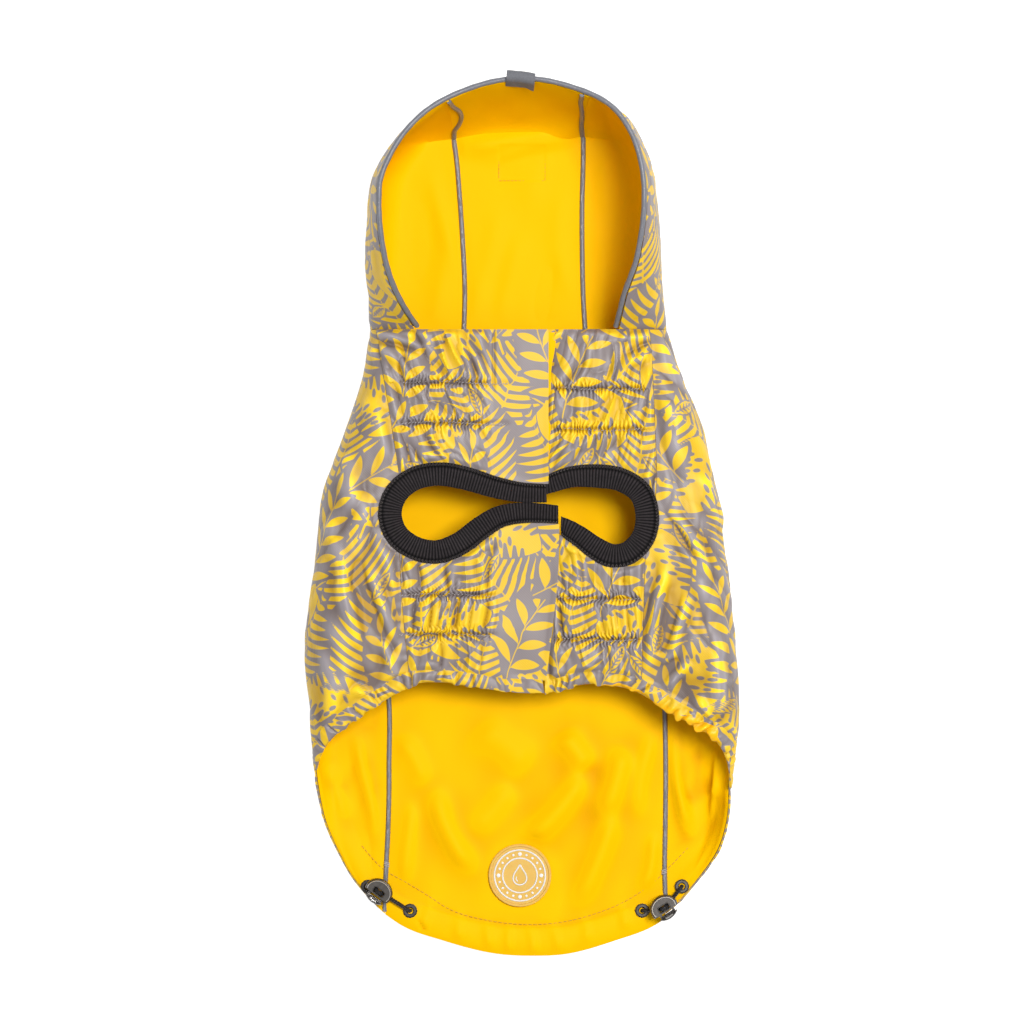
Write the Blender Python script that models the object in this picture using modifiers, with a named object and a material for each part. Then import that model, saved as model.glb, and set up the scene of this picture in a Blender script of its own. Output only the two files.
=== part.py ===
"""Dog raincoat, lying on its back with the belly side up and its hood standing open.

X runs across the coat, Y towards the hood and Z up from the surface it lies on.
Tables and functions work in millimetres, and meshes are written in metres.
"LEFT" is the -X side. Every cloth piece is a wall between two grids of points.
"""

import math

import bmesh
import bpy
import numpy as np

MM = 0.001

# Cloth and trim
CLOTH = 1.0                 # printed outer cloth
LINING = 1.0
BELLY = 1.6                 # belly pieces, cloth and lining in one wall
GAP = 0.3                   # between two pieces that touch
SEAM = 0.5                  # between two pieces along a curved seam
PIPING_RADIUS = 1.0
PIPING_FOOT = -199.0
RIM_RADIUS = 1.2
CORD_RADIUS = 1.0
LINING_TOP = CLOTH + GAP + LINING
LINING_INSET = PIPING_RADIUS + SEAM
RIM_LININGS = 6.0           # how far below the rim the hood's side linings end, at its top corners

# The middle of the coat's box, which the frame's origin sits under
MIDDLE_X = 0.0
MIDDLE_Y = -2.9

# Lengthways stations
NECK_Y = 91.0
CASING = 6.0                # elastic casing at the belly hem
CASING_CLEARANCE = 1.3
SLANT_CLEARANCE = 0.6       # more room for the side linings where their edge runs slanting
CHANNEL = 15.0              # drawcord channel along the back hem
CHANNEL_LIFT = 1.2

# Gathers
GATHER_HEIGHT = 1.1
HEM_GATHER_HEIGHT = 0.9
RIB_WIDTH = 11.0
RIB_LIFT = 0.9
RIB_DEPTH = 2.0

# The largest folds of the two sides seen from above: a ridge's two ends, half its width
# and how far it stands up
SIDE_FOLDS = {
    "left": ((-88.0, -36.0, -85.0, -68.0, 6.5, 1.6), (-74.0, 60.0, -66.0, 26.0, 6.0, 1.2),
             (-97.0, -52.0, -88.0, -92.0, 6.5, 1.3), (-86.0, 20.0, -78.0, -8.0, 6.0, 1.1)),
    "right": ((62.0, -44.0, 66.0, -74.0, 6.5, 1.7), (82.0, -10.0, 94.0, -46.0, 6.5, 1.4),
              (77.0, 60.0, 72.0, 26.0, 6.0, 1.2), (96.0, -60.0, 94.0, -98.0, 6.5, 1.3)),
}


class Sections:
    """A table with named columns, read between its rows on a smooth curve."""

    def __init__(self, names, *rows):
        table = np.array(sorted(rows), dtype=float)
        self.names = names.split()[1:]
        self.stations = table[:, 0]
        self.values = table[:, 1:]
        self.slopes = np.gradient(self.values, self.stations, axis=0)

    def at(self, station):
        """Every column's value at one station, as a dictionary."""
        last = len(self.stations) - 2
        station = min(max(station, self.stations[0]), self.stations[-1])
        row = min(max(int(np.searchsorted(self.stations, station)) - 1, 0), last)
        span = self.stations[row + 1] - self.stations[row]
        t = (station - self.stations[row]) / span
        start, end = self.values[row], self.values[row + 1]
        leave, arrive = self.slopes[row] * span, self.slopes[row + 1] * span
        value = (start * (1 + 2 * t) * (1 - t) ** 2 + leave * t * (1 - t) ** 2
                 + end * t * t * (3 - 2 * t) + arrive * t * t * (t - 1))
        return dict(zip(self.names, value))


# One half of the body's cross-section at each y: the back seam, the outermost side,
# how far the side rolls in, the height of its outermost point and of its top, how far
# round the roll a free edge reaches (1 is the outermost point), and the belly seam.
BODY = {
    "left": Sections(
        "y seam side roll mid top wrap belly_seam",
        (91.0, 29.3, 75.8, 14.0, 13.0, 28.0, 1.0, 72.3),
        (72.0, 38.5, 79.0, 15.0, 14.0, 31.0, 1.0, 69.5),
        (42.0, 54.5, 88.3, 16.0, 15.0, 34.0, 1.0, 64.5),
        (12.0, 64.5, 98.8, 17.0, 16.0, 35.0, 1.0, 60.5),
        (-19.0, 67.5, 102.3, 17.0, 16.0, 35.0, 1.0, 60.8),
        (-49.0, 67.8, 106.3, 17.0, 16.0, 34.0, 1.0, 59.2),
        (-79.0, 67.4, 107.8, 16.0, 15.0, 31.0, 1.0, 56.4),
        (-105.0, 66.6, 105.5, 14.0, 14.0, 27.0, 1.0, 55.3),
        (-125.0, 67.0, 104.2, 12.0, 12.0, 22.0, 1.0, 55.3),
        (-139.0, 67.0, 102.7, 10.0, 10.0, 18.0, 0.85, 55.3),
        (-154.0, 67.3, 100.2, 9.0, 8.0, 14.0, 0.7, 55.3),
        (-169.0, 67.8, 94.8, 8.0, 6.5, 11.0, 0.55, 55.3),
        (-184.0, 68.3, 87.0, 7.0, 5.0, 9.0, 0.45, 55.3),
        (-194.0, 68.6, 78.0, 5.0, 4.0, 7.0, 0.4, 55.3),
    ),
    "right": Sections(
        "y seam side roll mid top wrap belly_seam",
        (91.0, 31.3, 71.8, 13.0, 13.0, 28.0, 1.0, 63.0),
        (72.0, 40.0, 77.6, 15.0, 14.0, 31.0, 1.0, 64.2),
        (42.0, 55.5, 89.5, 16.0, 15.0, 34.0, 1.0, 65.4),
        (12.0, 63.5, 96.2, 17.0, 16.0, 35.0, 1.0, 66.0),
        (-19.0, 66.5, 100.9, 17.0, 16.0, 35.0, 1.0, 61.0),
        (-49.0, 68.6, 104.8, 17.0, 16.0, 34.0, 1.0, 59.8),
        (-79.0, 70.2, 107.2, 16.0, 16.0, 32.0, 1.0, 59.0),
        (-105.0, 71.0, 107.5, 14.0, 15.0, 29.0, 1.0, 58.8),
        (-125.0, 71.2, 105.4, 13.0, 15.0, 26.0, 1.1, 58.8),
        (-139.0, 71.2, 103.8, 12.0, 15.0, 24.0, 1.05, 58.8),
        (-154.0, 71.1, 102.5, 11.0, 14.0, 20.0, 0.95, 58.8),
        (-169.0, 71.0, 98.2, 10.0, 11.0, 16.0, 0.85, 58.8),
        (-184.0, 71.2, 89.2, 7.0, 6.0, 11.0, 0.6, 58.8),
        (-194.0, 71.6, 81.5, 5.0, 4.0, 7.0, 0.45, 58.8),
    ),
}
SIGN = {"left": -1.0, "right": 1.0}
UP = (0.0, 0.0, 1.0)
DOWN = (0.0, 0.0, -1.0)

# Height of the belly's middle line
BELLY_MIDDLE = Sections("y height", (91.0, 29.0), (60.0, 31.0), (0.0, 30.0),
                        (-60.0, 29.0), (-91.0, 27.0))

# The belly hem's outer edge seen from above, from the placket round to the back hem
BELLY_HEM = {
    "left": ((10.8, -89.3), (-8.8, -88.5), (-23.3, -86.3), (-40.8, -84.0), (-52.8, -84.8),
             (-60.0, -88.0), (-67.3, -92.5), (-76.3, -98.0), (-85.5, -104.5), (-94.0, -111.5),
             (-100.0, -119.0), (-103.3, -128.0)),
    "right": ((11.1, -89.3), (16.3, -88.5), (29.6, -85.0), (44.3, -85.5), (56.0, -88.5),
              (64.0, -93.0), (73.0, -99.0), (83.8, -105.0), (93.5, -111.0), (100.0, -118.5),
              (103.2, -128.0), (103.8, -137.0)),
}
HEM_CORNER = {"left": -129.2, "right": -138.2}
SLANT_END = -78.0           # where a side piece's edge turns from the casing to the belly seam
SIDE_FOOT = -193.8          # a side piece's last row, at the back hem
CORNER_TURN = 3.0           # over which its edge goes from the casing to the wrap
HEM_SLANT = 6.4             # how much further down that row is at the back seam
HEM_END_TURN = 8.0          # over which the casing's ends are cut square to the placket

# The back hem's y at each x between the two back seams
BACK_HEM = Sections("x y", (-71.8, -198.5), (-60.8, -206.0), (-40.3, -213.5), (-9.8, -220.6),
                    (5.0, -221.2), (19.8, -220.6), (46.8, -213.5), (66.3, -206.0),
                    (77.3, -198.5))
BACK_FOOT = (-68.9, 71.8)   # x of its two ends, at the back seams

# Free edge of the left belly pieces, which lie over the right ones
PLACKET = {
    "upper": Sections("y x", (91.0, 12.8), (50.0, 12.8), (0.0, 12.8)),
    "lower": Sections("y x", (0.0, 18.2), (-28.0, 17.6), (-57.0, 14.8), (-89.0, 10.8)),
}
PLACKET_BAND = 27.0         # flat band beside the free edge, with no gathers
UNDERLAP = 9.0              # how far the right pieces reach under the left ones
PLACKET_STEP = BELLY + GAP
STEP_RUN = 10.0             # over which the right pieces come down under the left ones

# Rows of elastic across each belly piece: y of the two rows
SHIRRING = {
    ("left", "upper"): (64.5, 44.5), ("left", "lower"): (-40.5, -60.0),
    ("right", "upper"): (61.5, 41.5), ("right", "lower"): (-42.5, -62.5),
}
SHIRRING_PINCH = 4.0        # how far a row's pinch reaches along the coat

# Centre lines of the rib knit round the leg holes, chosen points on a smooth curve
LEG_RIB = {
    "left": ((11.9, 9.5), (-1.3, 10.0), (-13.8, 12.5), (-28.8, 17.0), (-41.3, 19.0),
             (-53.8, 16.5), (-62.6, 9.0), (-65.3, 0.5), (-62.3, -10.0), (-53.8, -16.8),
             (-42.8, -19.0), (-31.3, -15.0), (-21.3, -7.5), (-11.3, -1.5), (-1.3, 0.3),
             (9.0, 0.2), (17.6, -0.6)),
    "right": ((13.6, 14.3), (23.8, 17.5), (36.3, 18.0), (48.8, 16.0), (57.8, 10.0),
              (61.2, 0.0), (59.0, -12.5), (50.5, -20.2), (44.0, -20.8), (36.0, -17.0),
              (27.5, -11.5), (19.0, -7.5)),
}
RIB_END_WIDTH = 0.78        # of the full width, where the two loops meet
RIB_CLEARANCE = 0.6

# One side of the hood from the neck (0) to the top corner (1): the crown seam, the
# fullest point of the wall and the rim, each as x, y, z, and how far the wall rolls in
HOOD = {
    "left": Sections(
        "t sx sy sz bx by bz rx ry rz roll",
        (0.00, -29.3, 91.0, 0.0, -75.8, 91.0, 13.0, -53.8, 91.0, 29.0, 14.0),
        (0.16, -28.8, 109.0, 0.0, -76.6, 107.5, 20.0, -62.3, 105.0, 43.0, 16.0),
        (0.36, -29.8, 134.0, 0.0, -77.4, 126.0, 24.0, -69.0, 124.0, 54.0, 18.0),
        (0.55, -31.3, 156.5, 0.0, -76.2, 150.5, 26.0, -71.8, 149.3, 60.0, 19.0),
        (0.70, -32.8, 175.0, 0.0, -72.6, 169.0, 27.0, -69.8, 167.5, 61.0, 19.0),
        (0.82, -34.5, 188.0, 0.0, -60.5, 185.5, 28.0, -60.0, 185.5, 60.0, 16.0),
        (0.92, -35.3, 196.5, 22.0, -47.8, 196.0, 40.0, -48.4, 197.2, 58.5, 8.0),
        (1.00, -37.4, 203.7, 56.0, -39.4, 203.2, 56.6, -41.4, 202.2, 57.0, 1.0),
    ),
    "right": Sections(
        "t sx sy sz bx by bz rx ry rz roll",
        (0.00, 31.3, 91.0, 0.0, 71.8, 91.0, 13.0, 47.8, 91.0, 29.0, 13.0),
        (0.16, 30.3, 109.0, 0.0, 69.8, 107.5, 20.0, 51.6, 107.0, 43.0, 15.0),
        (0.36, 29.8, 134.0, 0.0, 68.9, 126.0, 25.0, 57.7, 125.0, 54.0, 17.0),
        (0.55, 29.8, 156.5, 0.0, 67.2, 151.0, 27.0, 60.9, 149.3, 60.0, 18.0),
        (0.70, 30.3, 175.0, 0.0, 64.3, 169.5, 28.0, 60.0, 167.5, 61.0, 18.0),
        (0.82, 30.3, 189.0, 0.0, 57.4, 186.0, 30.0, 55.4, 184.5, 60.0, 15.0),
        (0.92, 30.1, 198.0, 22.0, 46.5, 199.0, 42.0, 46.0, 198.6, 58.5, 8.0),
        (1.00, 32.6, 206.0, 56.0, 34.6, 205.8, 56.6, 36.6, 205.2, 57.0, 1.0),
    ),
}
# How far the crown's middle stands out past the line between its two seams
CROWN_BULGE = Sections("t out", (0.0, 0.0), (0.70, 0.0), (0.82, 2.5), (0.92, 5.5), (1.0, 8.7))

# Hardware on the back hem
BADGE = {"x": -1.3, "y": -181.0, "radius": 15.7, "thickness": 1.4, "rim": 1.1, "field": 0.8,
         "round_over": 0.3}
EYELET = {"flange": 3.6, "barrel": 2.1, "hole": 1.6, "height": 0.6, "depth": 0.9,
          "lip": 0.4, "slope": 0.6}
EYELET_PLACES = {
    "eyelet_left_inner": (-56.1, -198.6), "eyelet_left_outer": (-77.2, -186.6),
    "eyelet_right_inner": (59.8, -198.5), "eyelet_right_outer": (79.6, -186.4),
}
EYELET_HOLE = EYELET["barrel"] + GAP
LOCK = {"length": 14.5, "width": 12.6, "height": 6.4, "edge": 1.4, "cut": -2.2, "head": -4.4}
LOCK_SLOT = {"length": 5.8, "width": 2.7}
POCKET = {"width": 9.0, "height": 3.6, "end": 4.9}
TONGUE_END = 2.6
PRESS = 2.0                 # travel of a cord lock's button
LOCK_BOTTOM = 7.0
LOCKS = {"left": {"x": -71.6, "y": -188.6, "turn": -36.9},
         "right": {"x": 70.4, "y": -196.6, "turn": 33.5}}
STRAND = 1.6                # from a lock's middle to each strand of its cord
LABEL = {"width": 14.0, "inner": 7.0, "outer": 5.0, "thickness": 0.8}

# Grid sizes
SIDE_COLUMNS = 9
CHANNEL_ROWS = 4            # in the drawcord channel
BACK_ROWS = 4               # from there to where the shared rows begin
# Rows that the sides and the back share, so that their seam's two edges match:
# from y, to y and how many
SHARED_ROWS = ((SLANT_END, -21.0, 3), (-21.0, 22.0, 6), (22.0, NECK_Y - GAP / 2, 5))
BACK_COLUMNS = 9
BELLY_COLUMNS = 27
BELLY_ROWS = 5
HEM_WAVE = 4.6              # length of one gather at the belly hem
HOOD_GRID = (8, 12)
CROWN_GRID = (6, 13)

COLOURS = {
    "printed_cloth": ((0.36, 0.33, 0.31), 0.55, 0.0), "yellow_lining": ((0.96, 0.66, 0.0), 0.45, 0.0),
    "rib_knit": ((0.02, 0.018, 0.02), 0.9, 0.0), "reflective_piping": ((0.17, 0.17, 0.21), 0.5, 0.0),
    "woven_tape": ((0.2, 0.2, 0.22), 0.8, 0.0), "amber_rubber": ((0.9, 0.55, 0.15), 0.35, 0.0),
    "gunmetal": ((0.1, 0.09, 0.09), 0.25, 1.0), "black_cord": ((0.01, 0.01, 0.01), 0.8, 0.0),
}


def material(name):
    """The named finish, made once."""
    found = bpy.data.materials.get(name)
    if found:
        return found
    colour, roughness, metallic = COLOURS[name]
    made = bpy.data.materials.new(name)
    made.use_nodes = True
    shader = made.node_tree.nodes["Principled BSDF"]
    shader.inputs["Base Color"].default_value = (*colour, 1.0)
    shader.inputs["Roughness"].default_value = roughness
    shader.inputs["Metallic"].default_value = metallic
    return made


def to_metres(point):
    """A point in the coat's millimetres as a point in the frame."""
    return ((point[0] - MIDDLE_X) * MM, (point[1] - MIDDLE_Y) * MM, point[2] * MM)


def add_object(name, data, finish, collection="dog_raincoat"):
    """Link a new object with one material into its collection."""
    piece = bpy.data.objects.new(name, data)
    bpy.data.collections[collection].objects.link(piece)
    if finish:
        data.materials.append(material(finish))
    return piece


def mesh_object(name, work, finish, collection="dog_raincoat"):
    """Turn a finished bmesh into an object, shaded smooth with sharp edges kept."""
    mesh = bpy.data.meshes.new(name)
    work.to_mesh(mesh)
    work.free()
    mesh.shade_smooth()
    mesh.set_sharp_from_angle(angle=math.radians(40))
    return add_object(name, mesh, finish, collection)


def ease(t):
    """0 to 1 with a soft start and end."""
    t = min(max(t, 0.0), 1.0)
    return t * t * (3.0 - 2.0 * t)


def along(path, shares):
    """Points at the given shares of a path's length."""
    steps = np.linalg.norm(np.diff(path, axis=0), axis=1)
    distance = np.concatenate(([0.0], np.cumsum(steps)))
    wanted = np.asarray(shares) * distance[-1]
    columns = [np.interp(wanted, distance, path[:, axis]) for axis in range(path.shape[1])]
    return np.stack(columns, axis=-1)


def length_of(path):
    return float(np.linalg.norm(np.diff(path, axis=0), axis=1).sum())


def curve_through(points, count):
    """A smooth curve through hand-placed points, as evenly spaced points."""
    points = np.array(points, dtype=float)
    gaps = np.linalg.norm(np.diff(points, axis=0), axis=1)
    station = np.concatenate(([0.0], np.cumsum(gaps)))
    columns = " ".join(["s", "x", "y", "z"][:points.shape[1] + 1])
    table = Sections(columns, *[(s, *point) for s, point in zip(station, points)])
    places = np.linspace(0.0, station[-1], 12 * len(points))
    dense = np.array([list(table.at(s).values()) for s in places])
    return along(dense, np.linspace(0.0, 1.0, count))


def normals(grid, facing):
    """Unit normals of a grid of points, turned so that the first one faces `facing`."""
    across = np.gradient(grid, axis=1)
    down = np.gradient(grid, axis=0)
    normal = np.cross(across, down)
    normal /= np.linalg.norm(normal, axis=2, keepdims=True)
    if np.dot(normal[len(grid) // 2, 0], facing) < 0:
        normal = -normal
    return normal


def wall(name, front, back, finish):
    """A closed cloth wall between two grids: a plane is extruded and its two faces are shaped.

    The plane is cut into triangles first, so that walls on one sheet keep clear of each other.
    """
    rows, columns = front.shape[0] - 1, front.shape[1] - 1
    work = bmesh.new()
    bmesh.ops.create_grid(work, x_segments=columns, y_segments=rows, size=0.5)
    bmesh.ops.triangulate(work, faces=work.faces[:], quad_method="FIXED")
    faces = {vertex: front for vertex in work.verts}
    sheet = work.faces[:] + work.edges[:]
    grown = bmesh.ops.extrude_face_region(work, geom=sheet, use_keep_orig=True)
    faces.update({item: back for item in grown["geom"] if isinstance(item, bmesh.types.BMVert)})
    for vertex, grid in faces.items():
        column = round((vertex.co.x + 0.5) * columns)
        row = round((vertex.co.y + 0.5) * rows)
        vertex.co = to_metres(grid[row, column])
    bmesh.ops.recalc_face_normals(work, faces=work.faces)
    if work.calc_volume(signed=True) < 0.0:
        bmesh.ops.reverse_faces(work, faces=work.faces)
    return mesh_object(name, work, finish)


def sheet_of(grid, facing):
    """A grid of points with each point's normal beside it, as x, y, z and normal x, y, z."""
    return np.concatenate((grid, normals(grid, facing)), axis=2)


def slide(edge, neighbour, distance):
    """An edge of a sheet moved towards its neighbour, within the face between them."""
    gap = np.linalg.norm(edge[:, :3] - neighbour[:, :3], axis=1, keepdims=True)
    share = np.clip(distance / gap, 0.0, 0.9)
    return edge + (neighbour - edge) * share


def trimmed(sheet, start=0.0, end=0.0, high=0.0):
    """A sheet cut back at its first column, its last column and its last row."""
    cut = sheet.copy()
    cut[:, 0] = slide(sheet[:, 0], sheet[:, 1], start)
    cut[:, -1] = slide(sheet[:, -1], sheet[:, -2], end)
    cut[-1] = slide(cut[-1], cut[-2], high)
    return cut


def layer(name, sheet, depth, thickness, finish, relief=0.0):
    """A wall that starts `depth` behind a sheet, with relief raised on its outer face."""
    point, normal = sheet[..., :3], sheet[..., 3:]
    raised = normal * np.asarray(relief)[..., None]
    return wall(name, point - normal * depth + raised, point - normal * (depth + thickness), finish)


def tube(name, points, radius, finish, resolution=2):
    """A round tube along a path, with closed ends."""
    curve = bpy.data.curves.new(name, "CURVE")
    curve.dimensions = "3D"
    curve.bevel_depth = radius * MM
    curve.bevel_resolution = resolution
    curve.use_fill_caps = True
    spline = curve.splines.new("POLY")
    spline.points.add(len(points) - 1)
    for place, point in zip(spline.points, points):
        place.co = (*to_metres(point), 1.0)
    return add_object(name, curve, finish)


# ---------------------------------------------------------------- body surface

def placket_edge(y):
    """x of the free edge of the left belly pieces."""
    return PLACKET["upper" if y > 0.0 else "lower"].at(y)["x"]


def placket_drop(x, y):
    """How far the right-hand pieces lie below the belly's face at the overlap."""
    return PLACKET_STEP * ease(1.0 - (x - placket_edge(y)) / STEP_RUN)


def top_height(x, y, under=False):
    """Height of the coat's upper face at a place seen from above."""
    row = BODY["left" if x < 0 else "right"].at(y)
    inner = row["side"] - row["roll"]
    if abs(x) > inner:
        turn = min((abs(x) - inner) / row["roll"], 1.0)
        return row["mid"] + (row["top"] - row["mid"]) * math.sqrt(1.0 - turn * turn)
    middle = BELLY_MIDDLE.at(y)["height"]
    height = middle + (row["top"] - middle) * ease(abs(x) / inner)
    return height - placket_drop(x, y) if under else height


def crossing(line, axis, value, pick):
    """Where a line crosses a value of one axis: the chosen value of the other axis."""
    found = []
    for start, end in zip(line[:-1], line[1:]):
        low, high = sorted((start[axis], end[axis]))
        if low <= value <= high and high > low:
            share = (value - start[axis]) / (end[axis] - start[axis])
            found.append(start[1 - axis] + share * (end[1 - axis] - start[1 - axis]))
    return pick(found) if found else None


def section(side, y):
    """The whole section at y: distances round it from the outermost point, and points.

    It runs from the back seam along the floor (below zero) to past the belly's middle.
    """
    row = BODY[side].at(y)
    inner = row["side"] - row["roll"]
    turn = np.linspace(0.0, math.pi / 2, 12)
    floor = [(x, 0.0) for x in np.linspace(row["seam"], inner, 4)[:-1]]
    lower = [(inner + row["roll"] * math.sin(a), row["mid"] * (1.0 - math.cos(a))) for a in turn]
    upper = [(inner + row["roll"] * math.cos(a), row["mid"] + (row["top"] - row["mid"]) * math.sin(a))
             for a in turn[1:]]
    top = [(x, top_height(SIGN[side] * x, y)) for x in np.linspace(inner, -20.0, 24)[1:]]
    points = np.array(floor + lower + upper + top)
    steps = np.linalg.norm(np.diff(points, axis=0), axis=1)
    distance = np.concatenate(([0.0], np.cumsum(steps)))
    return distance - distance[len(floor) + len(lower) - 1], points


def on_body(side, distances, y):
    """Points of the body's face at distances round its section at y."""
    reach, points = section(side, y)
    across = np.interp(distances, reach, points[:, 0])
    height = np.interp(distances, reach, points[:, 1])
    return np.stack((SIGN[side] * across, np.full_like(across, y), height), axis=-1)


def round_at(side, x, y):
    """Distance round the section at y to a place on its upper face."""
    reach, points = section(side, y)
    upper = reach >= 0.0
    return float(np.interp(-SIGN[side] * x, -points[upper, 0], reach[upper]))


def casing_lines(side):
    """The belly hem's outer edge, and the direction into the cloth, round the section."""
    edge = curve_through(BELLY_HEM[side], 60)
    edge[:, 0] = [round_at(side, x, y) for x, y in edge]
    heading = np.gradient(edge, axis=0)
    heading /= np.linalg.norm(heading, axis=1, keepdims=True)
    into = np.stack((heading[:, 1], -heading[:, 0]), axis=1)
    travel = np.concatenate(([0.0], np.cumsum(np.linalg.norm(np.diff(edge, axis=0), axis=1))))
    square = 1.0 - np.clip(travel / HEM_END_TURN, 0.0, 1.0)[:, None]
    into = into * (1.0 - square) + np.array((0.0, 1.0)) * square
    return edge, into / np.linalg.norm(into, axis=1, keepdims=True)


def casing_outline(side):
    """The line that the cloth keeps to beside the casing, round the section."""
    edge, into = casing_lines(side)
    return edge + into * (CASING + CASING_CLEARANCE)


def rib_edges(side):
    """The rib band's centre line, and from there to its outer edge, seen from above."""
    centre = curve_through(LEG_RIB[side], 49)
    heading = np.gradient(centre, axis=0)
    heading /= np.linalg.norm(heading, axis=1, keepdims=True)
    shares = np.linspace(0.0, 1.0, len(centre))
    to_end = np.minimum(shares, 1.0 - shares)
    straight = np.clip(to_end / 0.05, 0.0, 1.0)[:, None]
    normal = np.stack((-heading[:, 1], heading[:, 0]), axis=1)
    upright = np.stack((np.zeros(len(centre)), np.sign(normal[:, 1])), axis=1)
    normal = normal * straight + upright * (1.0 - straight)
    normal /= np.linalg.norm(normal, axis=1, keepdims=True)
    width = RIB_WIDTH * (RIB_END_WIDTH + (1.0 - RIB_END_WIDTH) * np.clip(to_end / 0.22, 0.0, 1.0))
    outward = np.sign(np.einsum("ij,ij->i", normal, centre - centre.mean(axis=0))[len(centre) // 2])
    return centre, normal * outward * (width / 2.0)[:, None]


def rib_outline(side):
    """The outer edge of the rib band, with the clearance that the cloth keeps to it."""
    centre, reach = rib_edges(side)
    scale = 1.0 + RIB_CLEARANCE / np.linalg.norm(reach, axis=1, keepdims=True)
    return centre + reach * scale


RIB_OUTLINE = {side: rib_outline(side) for side in SIGN}
CASING_OUTLINE = {side: casing_outline(side) for side in SIGN}


def floor_end(side, y):
    """Distance round the section, below zero, to where it leaves the floor."""
    reach, points = section(side, y)
    return float(reach[np.flatnonzero(points[:, 1] <= 0.0)[-1]])


def side_end(side, y):
    """Distance round the section at y to a side piece's edge."""
    if y < HEM_CORNER[side]:
        return floor_end(side, y) * (1.0 - BODY[side].at(y)["wrap"])
    edge = BODY[side].at(y)["belly_seam"] + SEAM / 2
    notch = crossing(RIB_OUTLINE[side], 1, y, lambda found: max(found, key=abs))
    if notch is not None:
        edge = max(edge, abs(notch))
    end = round_at(side, SIGN[side] * edge, y)
    foot = CASING_OUTLINE[side][:, 1].min()
    on_hem = crossing(CASING_OUTLINE[side], 1, max(y, foot), min)
    return end if on_hem is None else min(end, on_hem)


def rows_of(stretches):
    """Stations along the coat: each stretch runs from y to y in so many rows."""
    rows = [stretches[0][0]]
    for start, end, count in stretches:
        rows.extend(np.linspace(start, end, count + 1)[1:])
    return rows


def side_rows(side):
    """The y of each row of a side piece, closer together where its edge turns."""
    corner = HEM_CORNER[side]
    turn = corner - CORNER_TURN
    return rows_of(((SIDE_FOOT, turn, 4), (turn, corner, 1), (corner, SLANT_END, 8)) + SHARED_ROWS)


def side_grid(side):
    """The face of a side piece, from the back seam round the roll to its edge."""
    grid = []
    foot, corner = side_rows(side)[0], HEM_CORNER[side]
    for y in side_rows(side):
        start = section(side, y)[0][0] + SEAM / 2
        row = on_body(side, np.linspace(start, side_end(side, y), SIDE_COLUMNS + 1), y)
        slant = max((corner - y) / (corner - foot), 0.0) ** 2
        row[:, 1] -= HEM_SLANT * slant * np.linspace(1.0, 0.0, SIDE_COLUMNS + 1)
        grid.append(row)
    return np.array(grid)


def channel_lift(distance):
    """How far the lining stands up over the drawcord, by its distance from the hem."""
    share = np.clip(distance / CHANNEL, 0.0, 1.0)
    return CHANNEL_LIFT * np.sin(math.pi * share)


def fold_height(x, y, folds):
    """How far the folds stand up at a place seen from above, fading out at their ends."""
    height = 0.0
    for start_x, start_y, end_x, end_y, width, rise in folds:
        run = np.array((end_x - start_x, end_y - start_y))
        reach = np.linalg.norm(run)
        across, lengthways = x - start_x, y - start_y
        share = (across * run[0] + lengthways * run[1]) / reach ** 2
        aside = (across * run[1] - lengthways * run[0]) / reach
        ends = ease((share + 0.3) / 0.5) * ease((1.3 - share) / 0.5)
        height += rise * math.exp(-(aside / width) ** 2) * ends
    return height


def side_relief(side, grid):
    """The largest folds of a side piece's upper part, none of them on its edges."""
    relief = np.zeros(grid.shape[:2])
    for row in range(1, grid.shape[0] - 1):
        for column in range(1, grid.shape[1] - 1):
            x, y, z = grid[row, column]
            relief[row, column] = fold_height(x, y, SIDE_FOLDS[side]) * ease(z / BELLY_MIDDLE.at(y)["height"])
    return relief


def make_sides():
    """The two side pieces, which run from the back seams round to the belly."""
    for side in SIGN:
        grid = side_grid(side)
        sheet = sheet_of(grid, DOWN)
        layer(f"side_{side}", sheet, 0.0, CLOTH, "printed_cloth", side_relief(side, grid))
        lift = np.zeros(sheet.shape[:2])
        for index, row in enumerate(sheet[..., :3]):
            if row[0, 1] < HEM_CORNER[side]:
                reach = length_of(row)
                lift[index] = channel_lift(np.linspace(reach, 0.0, len(row))) * ease(reach / (2 * CHANNEL))
            elif row[0, 1] < SLANT_END:
                lift[index] = SLANT_CLEARANCE
        inner = trimmed(sheet, LINING_INSET, CASING_CLEARANCE)
        inner[..., :3] -= inner[..., 3:] * lift[..., None]
        lining = layer(f"side_lining_{side}", inner, CLOTH + GAP, LINING, "yellow_lining")
        punch(lining, f"eyelet_{side}_outer")


def centre_grid():
    """The back piece between its two seams, from the curved hem up to the neck."""
    shared = rows_of(SHARED_ROWS)
    grid = np.zeros((CHANNEL_ROWS + BACK_ROWS + len(shared), BACK_COLUMNS + 1, 3))
    for column, u in enumerate(np.linspace(0.0, 1.0, BACK_COLUMNS + 1)):
        foot_x = BACK_FOOT[0] + u * (BACK_FOOT[1] - BACK_FOOT[0])
        foot_y = BACK_HEM.at(foot_x)["y"]
        top = foot_y + CHANNEL
        rows = rows_of(((foot_y, top, CHANNEL_ROWS), (top, shared[0], BACK_ROWS))) + shared[1:]
        for row, y in enumerate(rows):
            left = SEAM / 2 - BODY["left"].at(y)["seam"]
            right = BODY["right"].at(y)["seam"] - SEAM / 2
            grid[row, column] = (left + (right - left) * u, y, 0.0)
    return grid


def hem_distance(x, y):
    """Distance from the back hem, along the coat, at a place on the back piece."""
    return y - BACK_HEM.at(x)["y"]


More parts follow.
